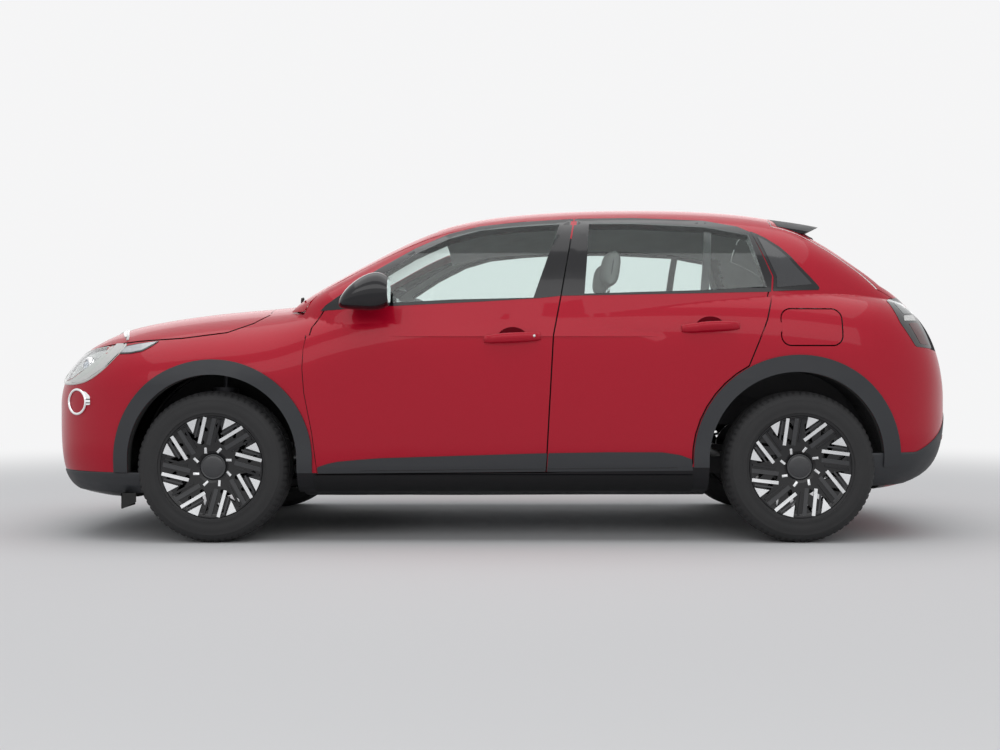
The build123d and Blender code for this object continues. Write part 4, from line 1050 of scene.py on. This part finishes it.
def pad(name, place, half_u, half_v, high, low, cuts_u=(), cuts_v=(), bolster=0.0, mat=SEAT,
        count=44, square=6.0, pull=0.025):
    """A stuffed pad: a crowned closed form with sewn channels, pulled in between its corners."""
    def drawn_in(u, v):
        return u * half_u * (1 - pull * (1 - v * v) * abs(u)), v * half_v * (1 - pull * (1 - u * u) * abs(v))

    grid = np.linspace(-1, 1, count + 1)
    ease = np.sign(grid) * (1 - (1 - np.abs(grid)) ** 1.6)
    top, under = [], []
    for v in ease:
        for u in ease:
            rim = ((1 - abs(u) ** square) * (1 - abs(v) ** square)) ** (1 / 2.4)
            rise = high * rim * (1 + 0.1 * (1 - u * u) * (1 - v * v))
            rise += bolster * rim * max(0.0, (abs(u) - 0.55) / 0.45) ** 1.5
            rise -= sum(CHANNEL_DEEP * rim * math.exp(-((u - line) * half_u / CHANNEL) ** 2)
                        for line in cuts_u)
            if abs(u) < 0.62:
                rise -= sum(CROSS_DEEP * rim * math.exp(-((v - line) * half_v / CHANNEL) ** 2)
                            for line in cuts_v)
            top.append(place(*drawn_in(u, v), rise))
            under.append(place(*drawn_in(u, v), -low * rim))
    bm = bmesh.new()
    upper, lower = ([bm.verts.new(v) for v in points] for points in (top, under))
    for quad in strips(count + 1, count + 1, ring=False):
        bm.faces.new([upper[k] for k in quad])
        bm.faces.new([lower[k] for k in reversed(quad)])
    bmesh.ops.remove_doubles(bm, verts=bm.verts, dist=WELD)
    bmesh.ops.recalc_face_normals(bm, faces=bm.faces)
    obj = joined(name, [bm], mat, "body", True)
    run = [-1 + 2 * k / 30 for k in range(30)]
    line = []
    for u, v in [(t, -1) for t in run] + [(1, t) for t in run] + [(-t, 1) for t in run] + [(-1, -t)
            for t in run]:
        m = max(abs(u), abs(v)) / (abs(u) ** square + abs(v) ** square) ** (1 / square)
        line.append(place(*drawn_in(u * m, v * m), 0))
    tube(name + "_piping", line, PIPING_R, PIPING, "body", 6, True)
    return obj


def tilted(origin, u_dir, v_dir):
    origin, u_dir, v_dir = Vector(origin), Vector(u_dir).normalized(), Vector(v_dir).normalized()
    up = u_dir.cross(v_dir)

    def place(u, v, w):
        return origin + u_dir * u + v_dir * v + up * w
    return place


def front_seat(side, y):
    """A bucket of cushion, backrest and headrest over its base, with posts, rails and a side cover."""
    cushion = pad("seat_cushion_" + side, tilted((0.075, y, 0.49), (0, 1, 0), (-1, 0, 0.11)), 0.243, 0.245,
                  0.072, 0.072, (-0.6, 0.6), (-0.45, 0.0, 0.42), 0.022)
    pad("seat_back_" + side, tilted((0.405, y, 0.8), (0, -1, 0), (0.36, 0, 1)), 0.232, 0.315, 0.062, 0.07,
        (-0.58, 0.58), (-0.55, -0.15, 0.25, 0.62), 0.022)
    pad("headrest_" + side, tilted((0.52, y, 1.232), (0, -1, 0), (0.14, 0, 1)), 0.122, 0.078, 0.044, 0.04,
        square=3.6, count=30, mat=SEAT_LIGHT)
    if side == "left":
        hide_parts("front_seats")
    for k, dy in enumerate((-0.063, 0.063)):
        tube(f"headrest_post_{k}_{side}", [(0.502, y + dy, 1.085), (0.51, y + dy, 1.175)], 0.006, CHROME,
             "body", 12)
    rounded_box("seat_base_" + side, (0.4, 0.4, 0.075), (0.11, y, 0.385), 0.02, TRIM)
    for k, dy in enumerate((-0.19, 0.19)):
        rounded_box(f"seat_rail_{k}_{side}", (0.46, 0.035, 0.024), (0.11, y + dy, 0.3435), 0.004, STEEL)
    rounded_box("seat_side_cover_" + side, (0.34, 0.022, 0.09), (0.11, y + math.copysign(0.218, y), 0.412),
                0.009, TRIM)


def rear_seats():
    cushion = pad("bench_cushion", tilted((1.015, 0, 0.628), (0, 1, 0), (-1, 0, 0.05)), 0.53, 0.222, 0.075,
                  0.062, (-0.36, 0.36), (-0.4, 0.1), count=56)
    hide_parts("rear_bench")
    pad("bench_back", tilted((1.272, 0, 0.905), (0, -1, 0), (0.22, 0, 1)), 0.522, 0.265, 0.058, 0.045,
        (-0.34, 0.34), (-0.5, 0.0, 0.5), count=56)
    for k, y in enumerate((-0.36, 0.0, 0.36)):
        pad(f"rear_headrest_{k}", tilted((1.335, y, 1.15 if y else 1.14), (0, -1, 0), (0.16, 0, 1)), 0.105,
            0.038, 0.036, 0.03, square=3.4, count=24)


front_seat("left", -SEAT_Y)
front_seat("right", SEAT_Y)
rear_seats()


# ---- steering wheel and dashboard
HELM_R, HELM_FLAT = 0.1715, 0.012  # the rim's radius, and how far it is flattened on one side


def steering_wheel():
    tilt = math.radians(24)
    axis = Vector((math.cos(tilt), 0, math.sin(tilt)))
    centre = Vector((-0.33, -SEAT_Y, 0.905)) + axis * 0.014
    u = Vector((0, 1, 0))
    v = axis.cross(u)
    rim = []
    for t in (math.tau * k / 72 for k in range(72)):
        r = HELM_R - HELM_FLAT * max(0.0, math.sin(t) - 0.8) / 0.2
        rim.append(centre + u * (r * math.cos(t)) + v * (r * math.sin(t)))
    ring = tube("steering_rim", rim, 0.0135, TRIM, "helm", 14, True)
    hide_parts("steering_wheel")
    spoke = [(0.045, -0.024), (0.11, -0.016), (0.16, -0.019), (0.16, 0.019), (0.11, 0.016), (0.045, 0.024)]
    for k, t in enumerate((0.0, math.pi, math.pi / 2)):
        way = u * math.cos(t) + v * math.sin(t)
        across = axis.cross(way)
        bm = prism_mesh(spoke, -0.006, 0.006, lambda p, q, w: centre + way * p + across * q + axis * w, 0.002)
        joined(f"steering_spoke_{k}", [bm], SILVER if k < 2 else TRIM, "helm")
    boss = [(0.0, 0.014), (0.03, 0.0135), (0.05, 0.01), (0.06, 0.0), (0.058, -0.012), (0.0, -0.014)]
    revolved("steering_boss", boss, centre, axis, 40, TRIM, "helm")
    tube("steering_column", [centre - axis * 0.01, centre - axis * 0.122], 0.0255, TRIM, "helm", 20)


steering_wheel()
rounded_box("centre_screen", (0.018, 0.27, 0.165), (-0.52, 0.0, 1.035), 0.007, GLOSS_BLACK,
            turn=Matrix.Rotation(math.radians(-8), 3, "Y"))
rounded_box("instrument_hood", (0.16, 0.3, 0.1), (-0.555, -SEAT_Y, 1.005), 0.03, TRIM)
rounded_box("instrument_panel", (0.012, 0.25, 0.075), (-0.478, -SEAT_Y, 1.008), 0.005, GLOSS_BLACK)
rounded_box("dash_band", (0.02, 1.3, 0.05), (-0.468, 0.0, 0.885), 0.008, SILVER)
for k, y in enumerate((-0.6, -0.16, 0.16, 0.6)):
    rounded_box("air_vent_%d" % k, (0.02, 0.11, 0.055), (-0.486, y, 0.945), 0.008, GLOSS_BLACK)
rounded_box("selector", (0.05, 0.05, 0.03), (-0.2, 0.0, 0.578), 0.01, GLOSS_BLACK)
rounded_box("console_tray", (0.3, 0.16, 0.02), (0.08, 0.0, 0.567), 0.008, TRIM)
speaker = [(0.0, 0.006), (0.05, 0.006), (0.072, 0.003), (0.078, -0.004)]
for side, out in SIDES:
    for end, x0, x1, z in (("front", -0.44, 0.12, 0.8), ("rear", 0.42, 0.84, 0.82)):
        tag, body = f"{end}_{side}", f"{end}_door_{side}"
        rounded_box("armrest_" + tag, (x1 - x0, 0.055, 0.055), ((x0 + x1) / 2, out * 0.566, z), 0.018, TRIM,
                    body)
        rounded_box("inner_pull_" + tag, (0.11, 0.022, 0.02), (x0 + 0.1, out * 0.576, z + 0.09), 0.008,
                    SILVER, body)
        revolved("door_speaker_" + tag, speaker, (x0 + 0.12, out * 0.583, 0.5), (0, -out, 0), 32, TRIM, body)


# ---- mirrors, antenna, wipers, pillar covers
for side, out in SIDES:
    face = soft(oblong(out * 0.86, out * 0.984, 1.045, 1.142), 0.04, 6)
    slab("mirror_face_" + side, face, (), "rear", 0.0, 0.002, MIRROR_GLASS, "front_door_" + side, 0.03,
         place=lambda u, v: (Vector((-0.4692, u, v)), Vector((1, 0, 0))))


def fin_antenna():
    """A small shark fin on the roof."""
    base_x, layers, around = 0.955, 9, 24
    roof_z = skin_at(base_x, 0.0, "top")[0].z
    verts = []
    for t in (k / (layers - 1) for k in range(layers)):
        half_len = 0.085 * (1 - t ** 1.5 * 0.62)
        half_w = 0.021 * (1 - t * 0.78)
        verts += [(base_x - 0.01 + 0.032 * t + half_len * math.cos(a), half_w * math.sin(a),
                   roof_z - 0.002 + 0.012 * t) for a in np.linspace(0, math.tau, around + 1)[:-1]]
    faces = strips(layers, around) + [range((layers - 1) * around, layers * around)]
    add_mesh("roof_antenna", verts, faces, GLOSS_BLACK, "body")


def wiper(tag, pivot, tip, view, body):
    """An arm and a blade that lie on the glass between two points of a view."""
    pivot, tip = Vector(pivot), Vector(tip)
    line = [skin_at(*(pivot.lerp(tip, k / 10)), view) for k in range(11)]
    arm = [p + n * (0.008 + 0.01 * min(1.0, k / 4)) for k, (p, n) in enumerate(line[:7])]
    tube("wiper_arm_" + tag, arm, 0.0055, UNDER, body)
    tube("wiper_blade_" + tag, [p + n * 0.012 for p, n in line[2:]], 0.0048, RUBBER, body)
    cap = [(0.0, 0.012), (0.01, 0.011), (0.014, 0.006), (0.015, -0.004)]
    revolved("wiper_pivot_" + tag, cap, line[0][0], line[0][1], 20, UNDER, body)


for side, out in SIDES:
    cover = [(out * u, v) for u, v in ((0.712, 1.015), (0.6, 1.432), (0.515, 1.432), (0.63, 1.015))]
    slab("pillar_cover_" + side, soft(cover, 0.008, 3), (), "front", 0.0016, 0.003, PAINT, "body", 0.02)
for side, _ in SIDES:
    for end, x0, x1 in (("front", -0.6, 0.198), ("rear", 0.216, 0.78)):
        line = [skin_at(x, 0.322 + 0.01 * x, side) for x in (x0 + (x1 - x0) * k / 20 for k in range(21))]
        tube(f"strip_groove_{end}_{side}", [p + n * 0.0068 for p, n in line], 0.0012, RUBBER,
             f"{end}_door_{side}", 6)
fin_antenna()
wiper("left", (-0.985, -0.1), (-0.88, -0.64), "top", "body")
wiper("right", (-1.0, 0.5), (-0.915, -0.06), "top", "body")
wiper("rear", (0.02, 1.12), (0.4, 1.15), "rear", "tail_gate")


# ---- nose and tail
LATTICE_X = -1.999
PLATE_HALF = 0.26
# the front plate: its lower edge, and its lean per metre of height
NOSE_PLATE_X, NOSE_PLATE_Z, NOSE_PLATE_LEAN = -2.0625, 0.378, 0.184


def intake_mesh():
    """A lattice of slanted bars behind the lower opening."""
    def place(u, v, w):
        return Vector((LATTICE_X - w, u, v))

    parts = []
    for k in range(-10, 11):
        for way in (-1, 1):
            a, b = (k * 0.033, 0.302), (k * 0.033 + way * 0.042, 0.424)
            if abs(a[0]) < 0.318 and abs(b[0]) < 0.318:
                parts.append(prism_mesh([tuple(p) for p in bar_outline(a, b, 0.006)], 0.0, 0.008, place,
                                        0.001))
    for z in (0.33, 0.362, 0.394):
        parts.append(prism_mesh(oblong(-0.325, 0.325, z - 0.003, z + 0.003), 0.004, 0.011, place, 0.001))
    joined("intake_lattice", parts, GLOSS_BLACK, "body")


for side, out in SIDES:
    flap = [(-1.654, 0.215), (-1.646, 0.147), (-1.588, 0.176), (-1.588, 0.215)]
    parts = [prism_mesh(flap, 0.0, 0.006, lambda u, v, w: Vector((u, out * (0.826 - w), v)), 0.001),
             prism_mesh(oblong(0.64, 0.826, 0.147, 0.215), 0.0, 0.005,
                        lambda u, v, w: Vector((-1.652 + w, out * u, v)), 0.001)]
    joined("deflector_" + side, parts, UNDER, "body")
intake_mesh()
slab("front_plate", soft(oblong(-PLATE_HALF, PLATE_HALF, NOSE_PLATE_Z, 0.488), 0.008, 3), (), "front", 0.0,
     0.004, PLATE, "body", 0.04, place=lambda u, v: (
         Vector((NOSE_PLATE_X - (v - NOSE_PLATE_Z) * NOSE_PLATE_LEAN, u, v)), Vector((-1, 0, 0))))
slab("rear_plate", soft(oblong(-PLATE_HALF, PLATE_HALF, 0.742, 0.852), 0.008, 3), (), "rear", 0.004, 0.004,
     PLATE, "tail_gate", 0.05)
slab("plate_pocket", soft(oblong(-0.3, 0.3, 0.722, 0.876), 0.03, 5), (), "rear", 0.0012, 0.002, GLOSS_BLACK,
     "tail_gate", 0.05)
for side, out in SIDES:
    reflector = soft(oblong(out * 0.4, out * 0.54, 0.436, 0.458), 0.008, 3)
    slab("rear_reflector_" + side, reflector, (), "rear", 0.0052, 0.004, REFLECTOR)
